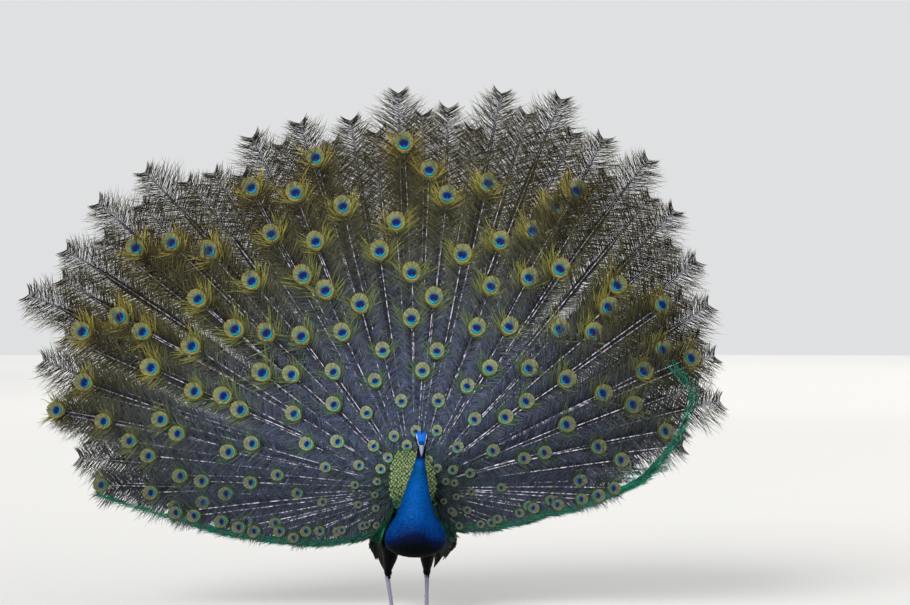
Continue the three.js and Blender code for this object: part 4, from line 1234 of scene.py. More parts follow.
def bareAt(points):   # no feathers on the white stripes, on the eyes or under the bill's base
    bare = whiteMark(points) > 0.35
    for side in outward:
        middle = eyeAxes(side)[0]
        bare = bare | (np.linalg.norm(points - middle, axis=1) * 1000 < 8.6)
    own = inHead(points)
    return bare | ((own[:, 1] > 29.5) & (own[:, 2] > -13) & (np.linalg.norm(own, axis=1) < 50))


materials["skin"] = plumageMaterial("bare skin", True)
materials["plumage"] = plumageMaterial("contour plumage", False)
skinMesh, skinWhite = makeSkin()
skinPoints, skinNormals, skinTris = surfaceOf(skinMesh)
dressMesh(skinMesh, fill(unwrap(skinPoints)), {"tone": plumageTone(skinPoints), "white": skinWhite}, 0.995)
addObject("skin", skinMesh, materials["skin"], flesh["nodes"])

coatPlace, coatOut, coatStep = scatterOn(skinPoints, skinNormals, skinTris, coatSpacing)
feathered = ~bareAt(coatPlace)
for share in (0.9, 1.9, 2.8):   # nor any whose vane would lie over a bare place
    feathered &= ~bareAt(coatPlace + coatFlow(coatPlace) * coatStep[:, None] * share)
coatPlace, coatOut, coatStep = coatPlace[feathered], coatOut[feathered], coatStep[feathered]
coatWays = coatFlow(coatPlace)
small = coatStep < coat["smallBelow"] / 1000
low = (coatPlace - birdShift)[:, 2] < coat["blackBelow"] / 1000
for name, chosen, shape, slotName in (
        ("head_plumage", small, coat["small"], "plumage_blue"),
        ("neck_plumage", ~small & ~low, coat["shape"], "plumage_blue"),
        ("body_plumage", ~small & low, coat["shape"], "plumage_black")):
    heap = newHeap()
    place, out, way, step = (values[chosen] for values in (coatPlace, coatOut, coatWays, coatStep))
    layCoat(heap, place, out, way, (step * coat["long"], step * coat["wide"]), shape, unwrap(place),
            {"tone": plumageTone(place)[:, None], "white": 0.0})
    makePiece(name, heap, materials["plumage"], flesh["nodes"])

# Teal-green scale feathers lie over the shoulders, between the neck and the saddle.
shoulder = {   # where they lie, in millimetres; each is so many spacings long and wide
    "behind": -52, "above": 268, "middle": -4, "beside": 30, "stepOver": 3.0, "lift": 1.2,
    "long": 3.2, "wide": 2.2,
}
x, y, z = onBird(coatPlace).T
chosen = (y > shoulder["behind"]) & (z > shoulder["above"]) & (coatStep > shoulder["stepOver"] / 1000)
chosen &= np.abs(x - shoulder["middle"]) > shoulder["beside"]
place, out, way, step = (values[chosen] for values in (coatPlace, coatOut, coatWays, coatStep))
heap = newHeap()
lifted = place + out * (shoulder["lift"] / 1000)
layCoat(heap, lifted, out, way, (step * shoulder["long"], step * shoulder["wide"]), coat["shape"],
        unwrap(place), {"tone": dice.uniform(0, 0.6, (len(place), 1))})
makePiece("shoulder_plumage", heap, materials["collar"], ["trunk", "neck_lower"])


def loft(heap, rings, place, marks, closed=False):   # skin over a row of rings, one shape
    r, k = rings.shape[:2]
    low, high = np.array(place[:2]), np.array(place[2:])
    share = np.stack(np.meshgrid(np.linspace(0, 1, r), np.linspace(0, 1, k), indexing="ij"), -1)
    where = low + (high - low) * share
    ready = {name: np.broadcast_to(value, (r, k)).reshape(1, r * k) for name, value in marks.items()}
    pour(heap, rings.reshape(1, r * k, 3), tubeQuads(r, k, closed), [], where.reshape(1, r * k, 2), ready)


def ringRound(path, ways, across, half, height, sides):   # rings along a path, flat across it
    return ovalRings(path, across, unit(np.cross(across, ways)), half, height, sides)


# Lids are soft rings that grow out of the skin round each eye.
lidHeap = newHeap()
for number, side in enumerate(outward):
    middle, outWay, foreWay, upWay = eyeAxes(side)
    turn = np.linspace(0, 2 * math.pi, face["lidSteps"], endpoint=False)
    lean = np.radians(face["lidAngle"] * (1 + 0.08 * np.abs(np.cos(turn)) ** 3))
    spoke = foreWay * np.cos(turn)[:, None] + upWay * np.sin(turn)[:, None] * 0.93
    edgeWay = unit(outWay * np.cos(lean)[:, None] + spoke * np.sin(lean)[:, None])
    path = middle + edgeWay * face["lidRadius"] / 1000
    ways = unit(np.roll(path, -1, axis=0) - np.roll(path, 1, axis=0))
    thick = face["lidHalf"] / 1000 * (1 + 0.25 * np.maximum(0, np.sin(turn)))
    rings = ringRound(path, ways, edgeWay, thick, thick * 1.3, face["lidSides"])
    loft(lidHeap, rings, (0.03 + 0.5 * number, 0.03, 0.45 + 0.5 * number, 0.97),
         {"tone": 0.1, "white": 0.0}, closed=True)
makePiece("eyelids", lidHeap, materials["skin"], ["head"])

materials["eyeball"] = eyeballMaterial()
for side in outward:
    heap = newHeap()
    middle, outWay, foreWay, upWay = eyeAxes(side)
    lean = np.radians(np.linspace(0.5, 179.5, 26))
    turn = np.linspace(0, 2 * math.pi, 28, endpoint=False)
    cornea = 1 + 0.035 * ease(44, 20, np.degrees(lean))   # the clear front bulges a little
    spoke = foreWay * np.cos(turn)[:, None] + upWay * np.sin(turn)[:, None]
    ways = outWay * np.cos(lean)[:, None, None] + spoke[None] * np.sin(lean)[:, None, None]
    rings = middle + ways * (cornea * head["eyeRadius"] / 1000)[:, None, None]
    loft(heap, rings, (0.03, 0.03, 0.97, 0.97), {"turn": np.degrees(lean)[:, None] / 62})
    makePiece("eyeball_" + side, heap, materials["eyeball"], ["eye_" + side])
print("peacock: head and eyes done")

# The bill: two horn shells that meet along the gape, a ridge over the top and a slit nostril.
bill = {   # across the head's own axes: along, out, half width, height
    "upper": [(17, 0.3, 9.6, 9.4), (26, -0.2, 9.0, 8.4), (33, -0.6, 8.3, 7.5), (46, -1.4, 6.2, 6.1),
              (55, -2.3, 4.3, 4.8), (61, -3.6, 2.7, 3.8), (65, -5.2, 1.2, 2.6), (66.5, -6.6, 0.2, 0.6)],
    "lower": [(17, -1.3, 8.9, 6.2), (26, -1.6, 8.4, 5.2), (33, -1.9, 7.5, 4.4), (46, -2.6, 5.4, 3.3),
              (54, -3.3, 3.6, 2.4), (58, -3.9, 2.2, 1.6), (60, -4.3, 0.3, 0.4)],
    "nostril": {"at": (30.5, 3.9), "half": (3.6, 1.3), "deep": 1.3}, "rings": 54, "sides": 36,
}
materials["bill"] = hornMaterial("bill horn", [
    (0.0, "#7f8ca6"), (0.35, "#96a2bd"), (0.75, "#8d97b2"), (1.0, "#747b92")], 0.34)
for name, up in (("upper", 1), ("lower", -1)):
    heap = newHeap()
    stations = np.array(bill[name])
    knots = np.linspace(0, 1, len(stations))
    share = np.linspace(0, 1, bill["rings"])
    place = np.interp(share, knots, stations[:, 0])
    smooth = [np.interp(place, stations[:, 0], stations[:, i]) for i in (1, 2, 3)]
    for i in range(3):   # rounds the corners between stations
        padded = np.pad(smooth[i], 2, mode="edge")
        smooth[i] = np.convolve(padded, [0.1, 0.2, 0.4, 0.2, 0.1], mode="valid")
    out, wide, tall = smooth
    turn = np.linspace(0, 2 * math.pi, bill["sides"], endpoint=False)
    s, c = np.sin(turn), np.cos(turn)
    ridge = np.where(s > 0, s ** 2 * 0.5 + np.abs(s) * 0.5, 0)
    height = np.where(s > 0, np.abs(ridge) ** 0.9, -0.10 * np.abs(s))
    across = wide[:, None] * np.sign(c) * np.abs(c) ** 0.85
    rise = out[:, None] + up * tall[:, None] * height
    slit = bill["nostril"]
    (slitAt, slitUp), (slitLong, slitHigh) = slit["at"], slit["half"]
    pit = ease(1, 0.3, np.hypot((place[:, None] - slitAt) / slitLong, (rise - slitUp) / slitHigh))
    pit = pit if name == "upper" else pit * 0
    across = across - np.sign(across) * pit * slit["deep"]
    local = np.stack([across, np.broadcast_to(place[:, None], across.shape), rise], -1)
    rings = headMiddle + local / 1000 @ headAxes
    tone = np.clip((place - 17) / 48, 0, 1)[:, None]
    loft(heap, rings, (0.03, 0.03, 0.97, 0.97), {"strand": tone, "pit": pit})
    makePiece("bill_horn_" + name, heap, materials["bill"], ["bill_" + name])

# The crest: a fan of bare shafts over the crown, each with a small blue-green tuft.
crest = {
    "shafts": 22, "root": (0, -8, 18), "from": -14, "to": 48, "long": 57, "bare": 0.74, "half": 0.00045,
    "spread": 2.2, "tuftTurns": (-34, -17, 0, 17, 34), "tuftWide": 0.0042,
    "tuft": {"along": [0, 0.3, 0.65, 0.88, 1], "outline": [0.2, 0.8, 1, 0.75, 0], "curl": 0.02,
             "camber": 0.05},
}
crestColours = {"tone": [(0.0, "#0b3a4a"), (0.5, "#0f5f86"), (1.0, "#1b7fa8")],
                "rim": [(0.0, "#ffffff"), (0.7, "#cfd6d8"), (1.0, "#6b7a80")],
                "tint": [(0.0, "#9cc0c8"), (1.0, "#ffffff")], "barbs": 30.0}
materials["crest"] = scaleMaterial(
    "crest tuft", crestColours, {"Metallic": 0.3, "Roughness": 0.4, "IOR": 1.5})
heap = newHeap()
n = crest["shafts"]
angle = np.radians(np.linspace(crest["from"], crest["to"], n) + dice.normal(0, 0.6, n))
root = onHead(*crest["root"]) + np.stack([dice.normal(0, 0.0012, n), np.zeros(n), np.zeros(n)], 1)
root[:, 1] += np.linspace(-0.004, 0.004, n)
lean = dice.normal(0, crest["spread"] / crest["long"], n)
way = unit(np.stack([lean, np.sin(angle), np.cos(angle)], 1))
long = crest["long"] / 1000 * dice.uniform(0.86, 1.0, n) * (1 - 0.10 * np.abs(np.linspace(-1, 1, n)))
t = np.linspace(0, 1, 9)
path = root[:, None] + way[:, None] * (long[:, None] * (t * crest["bare"] * 1.15))[..., None]
side = np.broadcast_to(np.array([1.0, 0, 0]), path.shape)
up = unit(np.cross(side, np.broadcast_to(way[:, None], path.shape)))
half = np.tile(crest["half"] * blend(1.2, 0.6, t), (n, 1))
half[:, [0, -1]] = 0.00005
where = np.stack(np.broadcast_arrays(((np.arange(n) + 0.5) / n)[:, None], 0.02 + 0.5 * t), -1)
sweepTubes(heap, path, side, up, half, half, 5, where,
           {"tone": 0.15, "strand": 0.0, "edge": 0.0, "tint": 0.4})
tip = root + way * (long * crest["bare"])[:, None]
across = unit(np.cross(way, np.array([1.0, 0, 0])))
for turn in crest["tuftTurns"]:   # each tuft is five small vanes
    swing = math.radians(turn)
    blade = unit(way * math.cos(swing) + across * math.sin(swing))
    out = np.broadcast_to(np.array([1.0, 0, 0]), way.shape) * (1 if turn % 34 else -1)
    layVanes(heap, tip, blade, out, long * (1 - crest["bare"]) * dice.uniform(0.85, 1.0, n),
             np.full(n, crest["tuftWide"]), {"lift": 0.0001 * turn / 17, **crest["tuft"]},
             np.stack([(np.arange(n) + 0.5) / n, np.full(n, 0.8 + turn / 300)], 1),
             {"tone": dice.uniform(0.3, 1, (n, 1)), "tint": dice.uniform(0, 1, (n, 1))})
makePiece("crest_plumes", heap, materials["crest"], ["crest"])


# The saddle, wings and rear are covered over closed forms of their own, in the same way as the body.
def cover(name, nodes, voxel, depth, material, settings, marksAt, flowAt, skinMarks,
          reshape=None):
    mesh = closedSurface(nodes, voxel, grow=0.0)
    soften(mesh, 6)
    points, normals, _ = surfaceOf(mesh)
    points = points - normals * depth / 1000
    moveTo(mesh, reshape(points) if reshape else points)
    points, normals, tris = surfaceOf(mesh)
    marks = {"strand": 0.9, "edge": 0.9, "tint": 0.2, **skinMarks}
    dressMesh(mesh, fill(unwrap(points)), marks, 0.995)
    addObject(name + "_base", mesh, material, nodes)
    place, out, _ = scatterOn(points, normals, tris, lambda p: np.full(len(p), settings["spacing"]))
    if "rows" in settings:   # an even lattice of scales over the front
        rowPlace, rowOut = scaleRows(points, tris, settings["rows"])
        top = points[:, 2].max() - settings["rows"]["short"] / 1000
        behind = (out[:, 1] > -0.6) & (place[:, 2] < top)
        place, out = np.concatenate([place[behind], rowPlace]), np.concatenate([out[behind], rowOut])
    heap = newHeap()
    sizes = settings["long"] / 1000, settings["wide"] / 1000
    layCoat(heap, place, out, flowAt(place), sizes, settings["shape"], unwrap(place), marksAt(place),
            settings["tilt"], settings["stray"])
    makePiece(name + "_feathers", heap, material, nodes)


def scaleRows(points, tris, rows):   # staggered rows dropped from the front onto a surface
    tree = BVHTree.FromPolygons(points.tolist(), tris.tolist())
    low, high = points.min(axis=0), points.max(axis=0)
    across, up = rows["across"] / 1000, rows["up"] / 1000
    found = []
    for number, z in enumerate(np.arange(low[2] - 0.004, high[2] - rows["short"] / 1000, up)):
        for x in np.arange(low[0] + across / 2 * (number % 2), high[0], across):
            x, height = x + dice.normal(0, rows["stray"][0]), z + dice.normal(0, rows["stray"][1])
            start = Vector((x, low[1] - 0.1, height))
            hit, normal, _, _ = tree.ray_cast(start, Vector((0, 1, 0)))
            if hit:
                found.append((*hit, *(normal if normal.y < 0 else -normal)))
    found = np.array(found)
    return found[:, :3], found[:, 3:]


saddle = {
    "spacing": 9.0, "long": 15, "wide": 12.0, "tilt": 0.16, "stray": 0.10, "spread": (-9, -60, 250),
    "rows": {"across": 11.6, "up": 7.0, "short": 3, "stray": (0.0013, 0.0010)}, "top": 532,
    "leftEdge": {"height": [366, 446, 473, 500, 520, 543], "reach": [70, 62, 54, 42, 32, 24]},
    "shape": {**scaleShape, "lift": -0.0002},
}
saddleColours = {
    "tone": [(0.0, "#2c7466"), (0.25, "#4f8870"), (0.6, "#7c9c78"), (1.0, "#929f74")],
    "rim": [(0.0, "#ffffff"), (0.5, "#eef0e2"), (0.64, "#94a284"), (0.8, "#2a4437"), (1.0, "#16302a")],
    "tint": [(0.0, "#a4c8ac"), (0.5, "#e4e8d8"), (1.0, "#fff6d8")], "barbs": 34.0}
materials["saddle"] = scaleMaterial("gold scale feather", saddleColours, {
    "Metallic": 0.25, "Roughness": 0.4, "IOR": 1.5, "Specular IOR Level": 0.3})


def saddleTone(place):   # gold-green, teal at the lower corners
    x, _, z = onBird(place).T
    tone = ease(355, 405, z) * 0.9 + 0.1 - 0.25 * ease(45, 75, np.abs(x + 11)) * ease(500, 400, z)
    return {"tone": np.clip(tone + dice.normal(0, 0.17, len(place)), 0, 1)[:, None]}


def squared(points):   # a flatter top edge than a dome, and a slanting edge on the left of the bird
    own = onBird(points)
    own[:, 2] -= 0.65 * np.maximum(own[:, 2] - saddle["top"], 0)
    limit = np.interp(own[:, 2], saddle["leftEdge"]["height"], saddle["leftEdge"]["reach"])
    own[:, 0] = np.where(own[:, 0] > limit, limit + (own[:, 0] - limit) * 0.15, own[:, 0])
    return own / 1000 + birdShift


cover("saddle", ["saddle"], 3.0, 1.2, materials["saddle"], saddle, saddleTone,
      lambda p: unit(p - birdAt(*saddle["spread"])), {"tone": 0.1}, squared)

wing = {
    "spacing": 8.0, "long": 24, "wide": 14, "tilt": 0.10, "stray": 0.10,
    "shape": {"along": [0, 0.25, 0.5, 0.7, 0.85, 0.95, 1], "outline": [0.5, 0.9, 1, 0.92, 0.66, 0.34, 0],
              "lift": 0.0005, "curl": 0.05, "camber": 0.05},
}
wingColours = {
    "tone": [(0.0, "#0b0f0e"), (0.45, "#121a17"), (0.7, "#1c4438"), (1.0, "#2f8068")],
    "rim": [(0.0, "#ffffff"), (0.6, "#c8cfc4"), (0.82, "#606c60"), (0.93, "#e8efd0"), (1.0, "#ffffff")],
    "tint": [(0.0, "#8f9f98"), (1.0, "#ffffff")], "barbs": 70.0}
materials["wing"] = scaleMaterial("dark wing covert", wingColours, {
    "Roughness": 0.6, "IOR": 1.5, "Specular IOR Level": 0.05})
down = {
    "spacing": 5.5, "long": 24, "wide": 6.5, "tilt": 0.22, "stray": 0.28,
    "shape": {"along": [0, 0.4, 0.8, 1], "outline": [0.5, 1, 0.6, 0], "lift": -0.0002, "curl": 0.12,
              "camber": 0.10},
}
downColours = {
    "tone": [(0.0, "#2b2622"), (1.0, "#5d5148")], "rim": [(0.0, "#d0d0d0"), (1.0, "#ffffff")],
    "tint": [(0.0, "#8f857c"), (1.0, "#fff6ea")], "barbs": 12.0}
materials["down"] = scaleMaterial("undertail down", downColours, {"Roughness": 0.85, "IOR": 1.45})
tuck = {   # how far out from its middle plane the wing reaches, by height
    "height": [0, 232, 262, 285, 308, 335, 420], "reach": [160, 150, 104, 92, 80, 66, 50], "middle": -11.0,
}


def tucked(points):   # the folded wing lies close to the flank above, and swells out below
    own = onBird(points)
    limit = np.interp(own[:, 2], tuck["height"], tuck["reach"])
    gap = own[:, 0] - tuck["middle"]
    short = np.where(np.abs(gap) > limit, limit + (np.abs(gap) - limit) * 0.12, np.abs(gap))
    own[:, 0] = tuck["middle"] + np.sign(gap) * short
    return own / 1000 + birdShift


def wingTone(place):   # emerald over the shoulder, black-green below
    high = ease(0.238, 0.275, (place - birdShift)[:, 2])
    return {"tone": (0.55 * high + dice.uniform(0, 0.45, len(place)))[:, None]}


def downTone(place):   # paler towards its lower edge
    low = ease(0.36, 0.25, (place - birdShift)[:, 2])[:, None]
    return {"tone": low * dice.uniform(0.5, 1, (len(place), 1))}


for side in outward:
    cover("wing_" + side, ["wing_" + side], 3.0, 1.0, materials["wing"], wing, wingTone,
          lambda p: np.broadcast_to(np.array([0, 0.55, -0.84]), p.shape), {"tone": 0.55}, tucked)
cover("undertail", ["undertail"], 3.5, 2.5, materials["down"], down, downTone,
      lambda p: np.broadcast_to(np.array([0, 1.0, -0.25]), p.shape), {"tone": 0.3})

# Flight feathers: long stiff vanes with a shaft, lying one over the next. Their near-black brown is painted
# shade, for flights that lie in shade under the wing.
quill = {
    "along": [0, 0.12, 0.3, 0.5, 0.7, 0.85, 0.95, 1], "outline": [0.25, 0.7, 0.95, 1, 1, 0.85, 0.5, 0],
    "lift": 0.0, "curl": -0.02, "camber": 0.06, "steps": 9, "half": (0.0011, 0.0003),
}
flight = {   # root and end of the first and the last flight, and where the coverts above them start
    "left": {"first": ((98, 0, 246), (66, 60, 196)), "last": ((136, 160, 236), (60, 214, 132)),
             "top": ((72, -20, 292), (78, 130, 296))},
    "right": {"first": ((-108, 0, 246), (-104, 60, 196)), "last": ((-160, 160, 236), (-114, 214, 124)),
              "top": ((-92, -20, 292), (-98, 130, 296))},
    "count": 12, "wide": 42, "step": 0.9, "coverts": 34, "hug": 2.6,
    "rows": (-1.0, -0.72, -0.44, -0.16, 0.08, 0.26), "covert": (0.042, 0.018),
}
flightColours = {
    # near-black tones: painted shade for flights in the shadow of the wing
    "tone": [(0.0, "#110f0d"), (1.0, "#211a14")],
    "rim": [(0.0, "#ffffff"), (0.8, "#d8ccc4"), (1.0, "#b8a898")],
    "tint": [(0.0, "#b8a89c"), (1.0, "#ffffff")], "barbs": 60.0}
materials["flight"] = scaleMaterial("flight vane in painted shade", flightColours, {
    "Roughness": 0.65, "IOR": 1.5, "Specular IOR Level": 0.05})


def layQuills(heap, roots, ends, outs, wide, places):   # a vane each and a shaft up its middle
    n, steps = len(roots), quill["steps"]
    ways = unit(ends - roots)
    long = np.linalg.norm(ends - roots, axis=1)
    layVanes(heap, roots, ways, outs, long, np.full(n, wide / 1000), quill, places,
             {"tone": dice.uniform(0, 1, (n, 1)), "tint": dice.uniform(0.3, 1, (n, 1))})
    t = np.linspace(0, 0.97, steps)
    rise = quill["curl"] * long[:, None] * t ** 2 + 0.0006
    path = roots[:, None] + ways[:, None] * (long[:, None] * t)[..., None] + outs[:, None] * rise[..., None]
    half = np.tile(blend(*quill["half"], t), (n, 1))
    half[:, [0, -1]] = 0.0001
    side = np.broadcast_to(unit(np.cross(ways, outs))[:, None], path.shape)
    where = places[:, None] + np.stack([np.zeros(steps), t * 0.003], 1)
    sweepTubes(heap, path, side, np.broadcast_to(outs[:, None], path.shape), half, half, 5, where,
               {"tone": 0.9, "strand": 0.1, "edge": 0.0, "tint": 1.0})


def alongFlights(side, share, down):   # from the wing's side (-1) over the roots (0) to the ends (1)
    own = flight[side]
    # the front of the wing keeps to the flank, and only the last flights swing out behind the fan
    part = np.stack([np.sign(share) * np.abs(share) ** flight["hug"], share, share], 1)
    top, root, end = (blend(birdAt(*first), birdAt(*last), part) for first, last in (
        own["top"], (own["first"][0], own["last"][0]), (own["first"][1], own["last"][1])))
    return blend(root, np.where(down[:, None] < 0, top, end), np.abs(down)[:, None])


def flightFacing(side, ways):   # square to the flights and to the line of their roots
    own = flight[side]
    line = birdAt(*own["last"][0]) - birdAt(*own["first"][0])
    outs = unit(np.cross(ways, np.broadcast_to(line, ways.shape)))
    return outs * np.sign(outs[:, :1] * outward[side])


for side in outward:
    heap = newHeap()
    share = np.linspace(0, 1, flight["count"])
    roots = alongFlights(side, share, np.full(len(share), -0.12))
    ends = alongFlights(side, share, np.ones(len(share)))
    ways = unit(ends - roots)
    outs = flightFacing(side, ways)
    roots = roots + outs * (np.arange(len(roots)) * flight["step"] / 1000)[::-1, None]
    where = np.stack([0.1 + 0.8 * share, 0.1 + 0.8 * share[::-1]], 1)
    layQuills(heap, roots, ends, outs, flight["wide"], where)
    makePiece("flight_feathers_" + side, heap, materials["flight"], ["flight_" + side])
    heap = newHeap()   # the drooping edge of the wing covers the roots of the flights
    rows = len(flight["rows"])
    n = flight["coverts"] * rows
    share = np.tile(np.linspace(-0.32, 1, flight["coverts"]), rows) + dice.normal(0, 0.012, n)
    row = np.repeat(np.arange(rows), flight["coverts"])
    down = np.array(flight["rows"])[row] + dice.normal(0, 0.02, n)
    roots = alongFlights(side, share, down)
    ways = unit(alongFlights(side, share, down + 0.35) - roots)
    outs = flightFacing(side, ways)
    roots = roots + outs * (0.0125 - 0.0012 * row)[:, None]
    where = np.stack([np.clip(0.26 + 0.7 * share, 0.02, 0.98), 0.1 + 0.8 * row / (rows - 1)], 1)
    long, wide = flight["covert"]
    layVanes(heap, roots, ways, outs, long * dice.uniform(0.9, 1.15, n), np.full(n, wide), wing["shape"],
             where, {**wingTone(roots), "tint": dice.uniform(0, 1, (n, 1))})
    makePiece("wing_edge_" + side, heap, materials["wing"], ["flight_" + side, "wing_" + side])

# The true tail stands behind the train and props it up: plain stiff feathers, grey-brown.
tail = {"root": (-7, 158, 404), "inner": 27.6, "long": 430, "count": 9, "most": 76, "lean": 0.07, "wide": 62}
tailColours = {
    "tone": [(0.0, "#4d4740"), (1.0, "#6a6055")],
    "rim": [(0.0, "#ffffff"), (0.7, "#d8d2ca"), (1.0, "#9a9288")],
    "tint": [(0.0, "#b0a89c"), (1.0, "#ffffff")], "barbs": 160.0}
materials["tail"] = scaleMaterial("grey-brown tail vane", tailColours, {"Roughness": 0.55, "IOR": 1.5})
for side in outward:
    heap = newHeap()
    n = tail["count"]
    share = (np.arange(n) + 0.5) / n
    turn = np.radians(share * tail["most"]) * outward[side]
    way = unit(np.stack([np.sin(turn), np.full(n, tail["lean"]), np.cos(turn)], 1))
    base = birdAt(*tail["root"]) + np.array([0, 0.001, 0]) * np.arange(n)[:, None] * 0.7
    roots = base + way * tail["inner"] / 1000
    ends = base + way * (tail["long"] * (1 - 0.1 * share))[:, None] / 1000
    outs = squareTo(way, np.array([0, 1.0, 0]))
    where = np.stack([0.08 + 0.84 * share, 0.08 + 0.84 * share[::-1]], 1)
    layQuills(heap, roots, ends, outs, tail["wide"], where)
    makePiece("tail_feathers_" + side, heap, materials["tail"], ["tail_" + side])
print("peacock: saddle, wings and tail done")

# Legs: horny scutes down the front, small plates behind, a spur, four toes with blunt claws.
leg = {   # sizes in millimetres, turns in degrees; "half" gives half widths by share of the shank
    "hock": {"left": (36, 50, 128), "right": (-96, 12, 128)},
    "ankle": {"left": (35, 38, 12), "right": (-79, -2, 12)}, "heading": {"left": 6, "right": -8},
    "half": [(-0.12, 5.4), (-0.04, 7.4), (0.04, 9.4), (0.13, 8.3), (0.5, 6.6), (0.85, 7.0), (1, 8.2)],
    "steps": 150, "sides": 28, "scute": 5.2, "proud": 0.55, "spur": (0.62, 24),
}
toe = {   # how far each is turned from the foot's heading, and how long it is; the last points back
    "each": [(-32, 52), (0, 72), (34, 56), (176, 24)], "half": 5.4, "rise": 7.0, "joints": 3.6,
    "steps": 70, "sides": 20, "scute": 4.2, "proud": 0.4,
}
claw = {"share": 0.2, "half": (2.9, 0.5), "steps": 18, "sides": 14}
materials["scute"] = scuteMaterial()
materials["claw"] = hornMaterial("claw horn", [(0.0, "#6d6670"), (0.6, "#4a444c"), (1.0, "#2e2a30")], 0.4)
floorUp = np.array([0, 0, 1])
cuff = {"count": 26, "rows": 3, "radius": (12, 7.5), "top": 30, "step": 7, "long": 26, "wide": 7}


def growCuff(heap, side):   # the last thigh feathers hang over the top of the bare shank
    hock, ankle = (birdAt(*leg[name][side]) for name in ("hock", "ankle"))
    n = cuff["count"] * cuff["rows"]
    turn = 2 * math.pi * (np.arange(n) * 1.37 / cuff["count"])
    row = np.repeat(np.arange(cuff["rows"]), cuff["count"])
    down = unit(ankle - hock)
    spoke = np.stack([np.cos(turn), np.sin(turn), np.zeros(n)], 1)
    radius = blend(*cuff["radius"], row / (cuff["rows"] - 1)) / 1000
    rise = floorUp * (cuff["top"] - cuff["step"] * row)[:, None] / 1000
    roots = hock + rise + spoke * radius[:, None]
    ways = unit(down + spoke * dice.uniform(-0.12, 0.02, (n, 1)))
    where = np.stack([0.02 + 0.96 * (turn / (2 * math.pi) % 1),
                      0.05 + 0.9 * (row + dice.uniform(0, 1, n)) / cuff["rows"]], 1)
    layVanes(heap, roots, ways, squareTo(ways, spoke), cuff["long"] / 1000 * dice.uniform(0.8, 1.1, n),
             np.full(n, cuff["wide"] / 1000), coat["shape"], where,
             {"tone": dice.uniform(0.0, 0.1, (n, 1)), "tint": dice.uniform(0, 1, (n, 1)), "white": 0.0})


def plated(share, turn, count, front):   # how far each scute stands out, and its seam
    phase = share * count + 0.5 * (np.abs(turn) > front)
    part = phase % 1
    seam = ease(0.0, 0.14, part) * ease(1.0, 0.93, part) * ease(0.03, 0.12, np.abs(np.abs(turn) - front))
    return part * 0.8 + 0.2 * np.sin(part * math.pi), seam


def onFloor(rings):   # nothing of the foot goes below the floor
    rings[..., 2] = np.maximum(rings[..., 2], birdShift[2] + 0.0003)
    return rings


def growSpike(heap, path, across, half, height, place):   # a claw or a spur, closed at both ends
    half[[0, -1]] *= 0.1
    ways = unit(np.gradient(path, axis=0))
    rings = ringRound(path, ways, np.broadcast_to(across, path.shape), half, half * height, claw["sides"])
    loft(heap, onFloor(rings), place, {"strand": np.linspace(0, 1, len(path))[:, None]})


def growToe(heap, clawHeap, foot, angle, long, number):
    toeWay = np.array([math.sin(angle), -math.cos(angle), 0])
    toeAcross = np.array([-toeWay[1], toeWay[0], 0])
    share = np.linspace(0, 1 - claw["share"], toe["steps"])
    joint = 1 + 0.10 * np.cos(share * 2 * math.pi * toe["joints"])
    half = toe["half"] * blend(1.15, 0.66, share / 0.8) * joint
    high = half * 0.92 + toe["rise"] * ease(0.22, 0.0, share)
    path = foot + toeWay * (share * long / 1000)[:, None] + floorUp * high[:, None] / 1000
    turn = np.linspace(0, 2 * math.pi, toe["sides"], endpoint=False) + math.pi / 2
    proud, seam = plated(share[:, None] / 0.8, (turn - math.pi / 2)[None], long / toe["scute"], 1.0)
    radius = (half[:, None] + toe["proud"] * proud * seam - 0.2) / 1000
    radius[[0, -1]] *= 0.2
    rings = (path[:, None] + toeAcross * (radius * np.cos(turn))[..., None]
             + floorUp * (radius * np.sin(turn))[..., None])
    loft(heap, onFloor(rings), (0.66, 0.02 + number * 0.24, 0.98, 0.22 + number * 0.24), {"seam": seam})
    share = np.linspace(0, 1, claw["steps"])
    reach = long * blend(1 - claw["share"] - 0.06, 1.0, share) / 1000
    arch = (3.6 + 1.4 * np.sin(share * math.pi) - 2.6 * share ** 2) / 1000
    path = foot + toeWay * reach[:, None] + floorUp * arch[:, None]
    half = blend(*claw["half"], share ** 1.2) / 1000
    growSpike(clawHeap, path, toeAcross, half, 0.95, (0.02 + number * 0.19, 0.02, 0.18 + number * 0.19, 0.98))


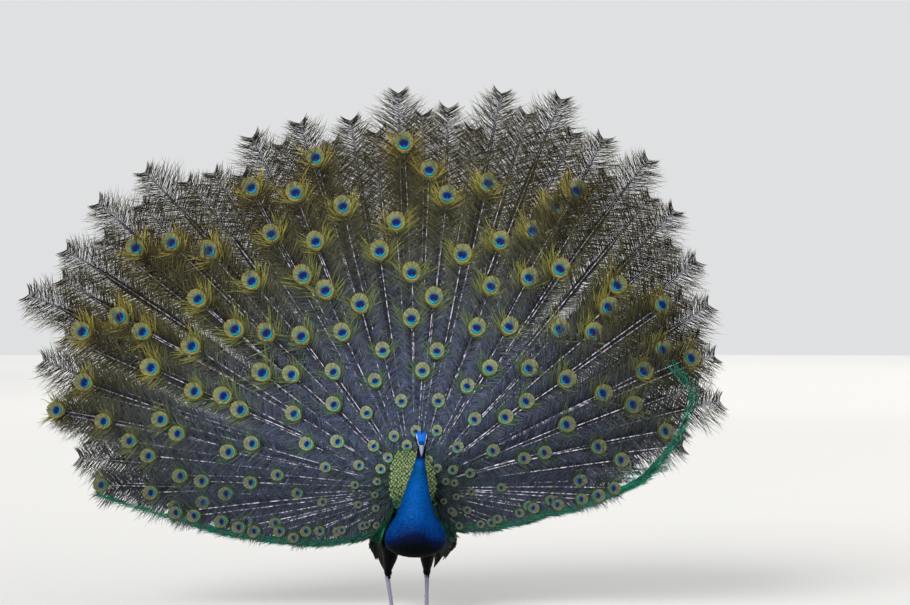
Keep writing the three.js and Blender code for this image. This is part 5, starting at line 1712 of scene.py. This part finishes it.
for side in outward:
    hock, ankle = birdAt(*leg["hock"][side]), birdAt(*leg["ankle"][side])
    heap, clawHeap = newHeap(), newHeap()
    share = np.linspace(-0.12, 1.02, leg["steps"])
    path = hock + (ankle - hock) * share[:, None]
    way = unit(ankle - hock)
    across = unit(np.cross(way, np.array([0, -1.0, 0])))
    fore = np.cross(across, way)
    turn = np.linspace(-math.pi, math.pi, leg["sides"], endpoint=False)
    half = np.interp(share, *zip(*leg["half"]))
    scutes = np.linalg.norm(ankle - hock) * 1000 / leg["scute"]
    proud, seam = plated(share[:, None], turn[None], scutes, 1.05)
    radius = (half[:, None] + leg["proud"] * proud * seam - 0.3) / 1000
    radius[[0, -1]] *= 0.05
    rings = (path[:, None] + across * (radius * np.sin(turn) * 0.92)[..., None]
             + fore * (radius * np.cos(turn) * 1.08)[..., None])
    loft(heap, rings, (0.02, 0.02, 0.62, 0.98), {"seam": seam})
    heading = math.radians(leg["heading"][side])
    foot = np.array([ankle[0], ankle[1], birdShift[2]])
    for number, (spread, long) in enumerate(toe["each"]):
        inward = 1 if number == 3 else outward[side]   # the hind toe turns the same way on both feet
        growToe(heap, clawHeap, foot, heading + math.radians(spread * inward), long, number)
    at, long = leg["spur"]
    share = np.linspace(0, 1, claw["steps"])
    spurWay = unit(np.array([-outward[side] * 9, 22, -2.0]))
    path = hock + (ankle - hock) * at + spurWay * (blend(4, long, share) / 1000)[:, None]
    path = path + floorUp * 0.003 * share[:, None] ** 2
    growSpike(clawHeap, path, unit(np.cross(spurWay, floorUp)), blend(4.2, 0.6, share) / 1000, 1.0,
              (0.80, 0.02, 0.98, 0.98))
    makePiece("leg_" + side, heap, materials["scute"], ["shank_" + side, "foot_" + side])
    heap = newHeap()
    growCuff(heap, side)
    makePiece("hock_plumage_" + side, heap, materials["plumage"], ["thigh_" + side])
    makePiece("claws_" + side, clawHeap, materials["claw"], ["foot_" + side])
print("peacock: legs done")

# Stage: a pale floor, soft light and the camera.
studio = {
    "lens": 106.8, "sensor": 36, "camera": (0.2724, -9.0016, 1.04), "floorRadius": 45, "floorSides": 64,
    "floor": "#c9c9c8", "world": "#e8e9ea", "worldLight": 0.92,
    "lamps": {   # where each soft light stands, how wide it is in degrees, and its strength
        "key": ((-4, -7, 6), 30, 2.0),
        "back": ((4, 7, 5), 60, 0.5),
    },
}


def aim(thing, place, target):
    thing.location = place
    thing.rotation_euler = (Vector(target) - Vector(place)).to_track_quat("-Z", "Y").to_euler()
    bpy.context.scene.collection.objects.link(thing)


camera = bpy.data.cameras.new("camera")
camera.lens = studio["lens"]
camera.sensor_width = studio["sensor"]
cameraObject = bpy.data.objects.new("camera", camera)
straightAhead = (studio["camera"][0], 0, studio["camera"][2])
aim(cameraObject, studio["camera"], straightAhead)
bpy.context.scene.camera = cameraObject
for name, (place, wide, power) in studio["lamps"].items():
    lamp = bpy.data.lights.new(name, "SUN")
    lamp.angle = math.radians(wide)
    lamp.energy = power
    aim(bpy.data.objects.new(name, lamp), place, (0, 0, 0.8))

world = bpy.data.worlds.new("studio")
world.use_nodes = True
sky = world.node_tree.nodes["Background"]
sky.inputs["Color"].default_value = linear(studio["world"])
sky.inputs["Strength"].default_value = studio["worldLight"]
bpy.context.scene.world = world
bpy.context.scene.view_settings.view_transform = "Standard"

# Matt board, faintly mottled so that it does not look like a flat fill.
floorMaterial, node, shader, _ = startMaterial("pale studio floor", {"Roughness": 0.9, "IOR": 1.45})
grain = node("TexNoise", {"Scale": perMm(400), "Detail": 2.0})
mottled = node("ValToRGB", {"stops": [(0.3, "#e9e7e3"), (0.7, studio["floor"])]}, {0: grain})
endMaterial(floorMaterial, shader, mottled)
turn = np.arange(studio["floorSides"]) * 2 * math.pi / studio["floorSides"]
rim = np.stack([np.cos(turn), np.sin(turn), np.zeros(len(turn))], 1) * studio["floorRadius"]
floorMesh = bpy.data.meshes.new("floor")
floorMesh.from_pydata([tuple(p) for p in rim], [], [tuple(range(len(rim)))])
floorMesh.materials.append(floorMaterial)
floor = bpy.data.objects.new("floor", floorMesh)
bpy.context.scene.collection.objects.link(floor)
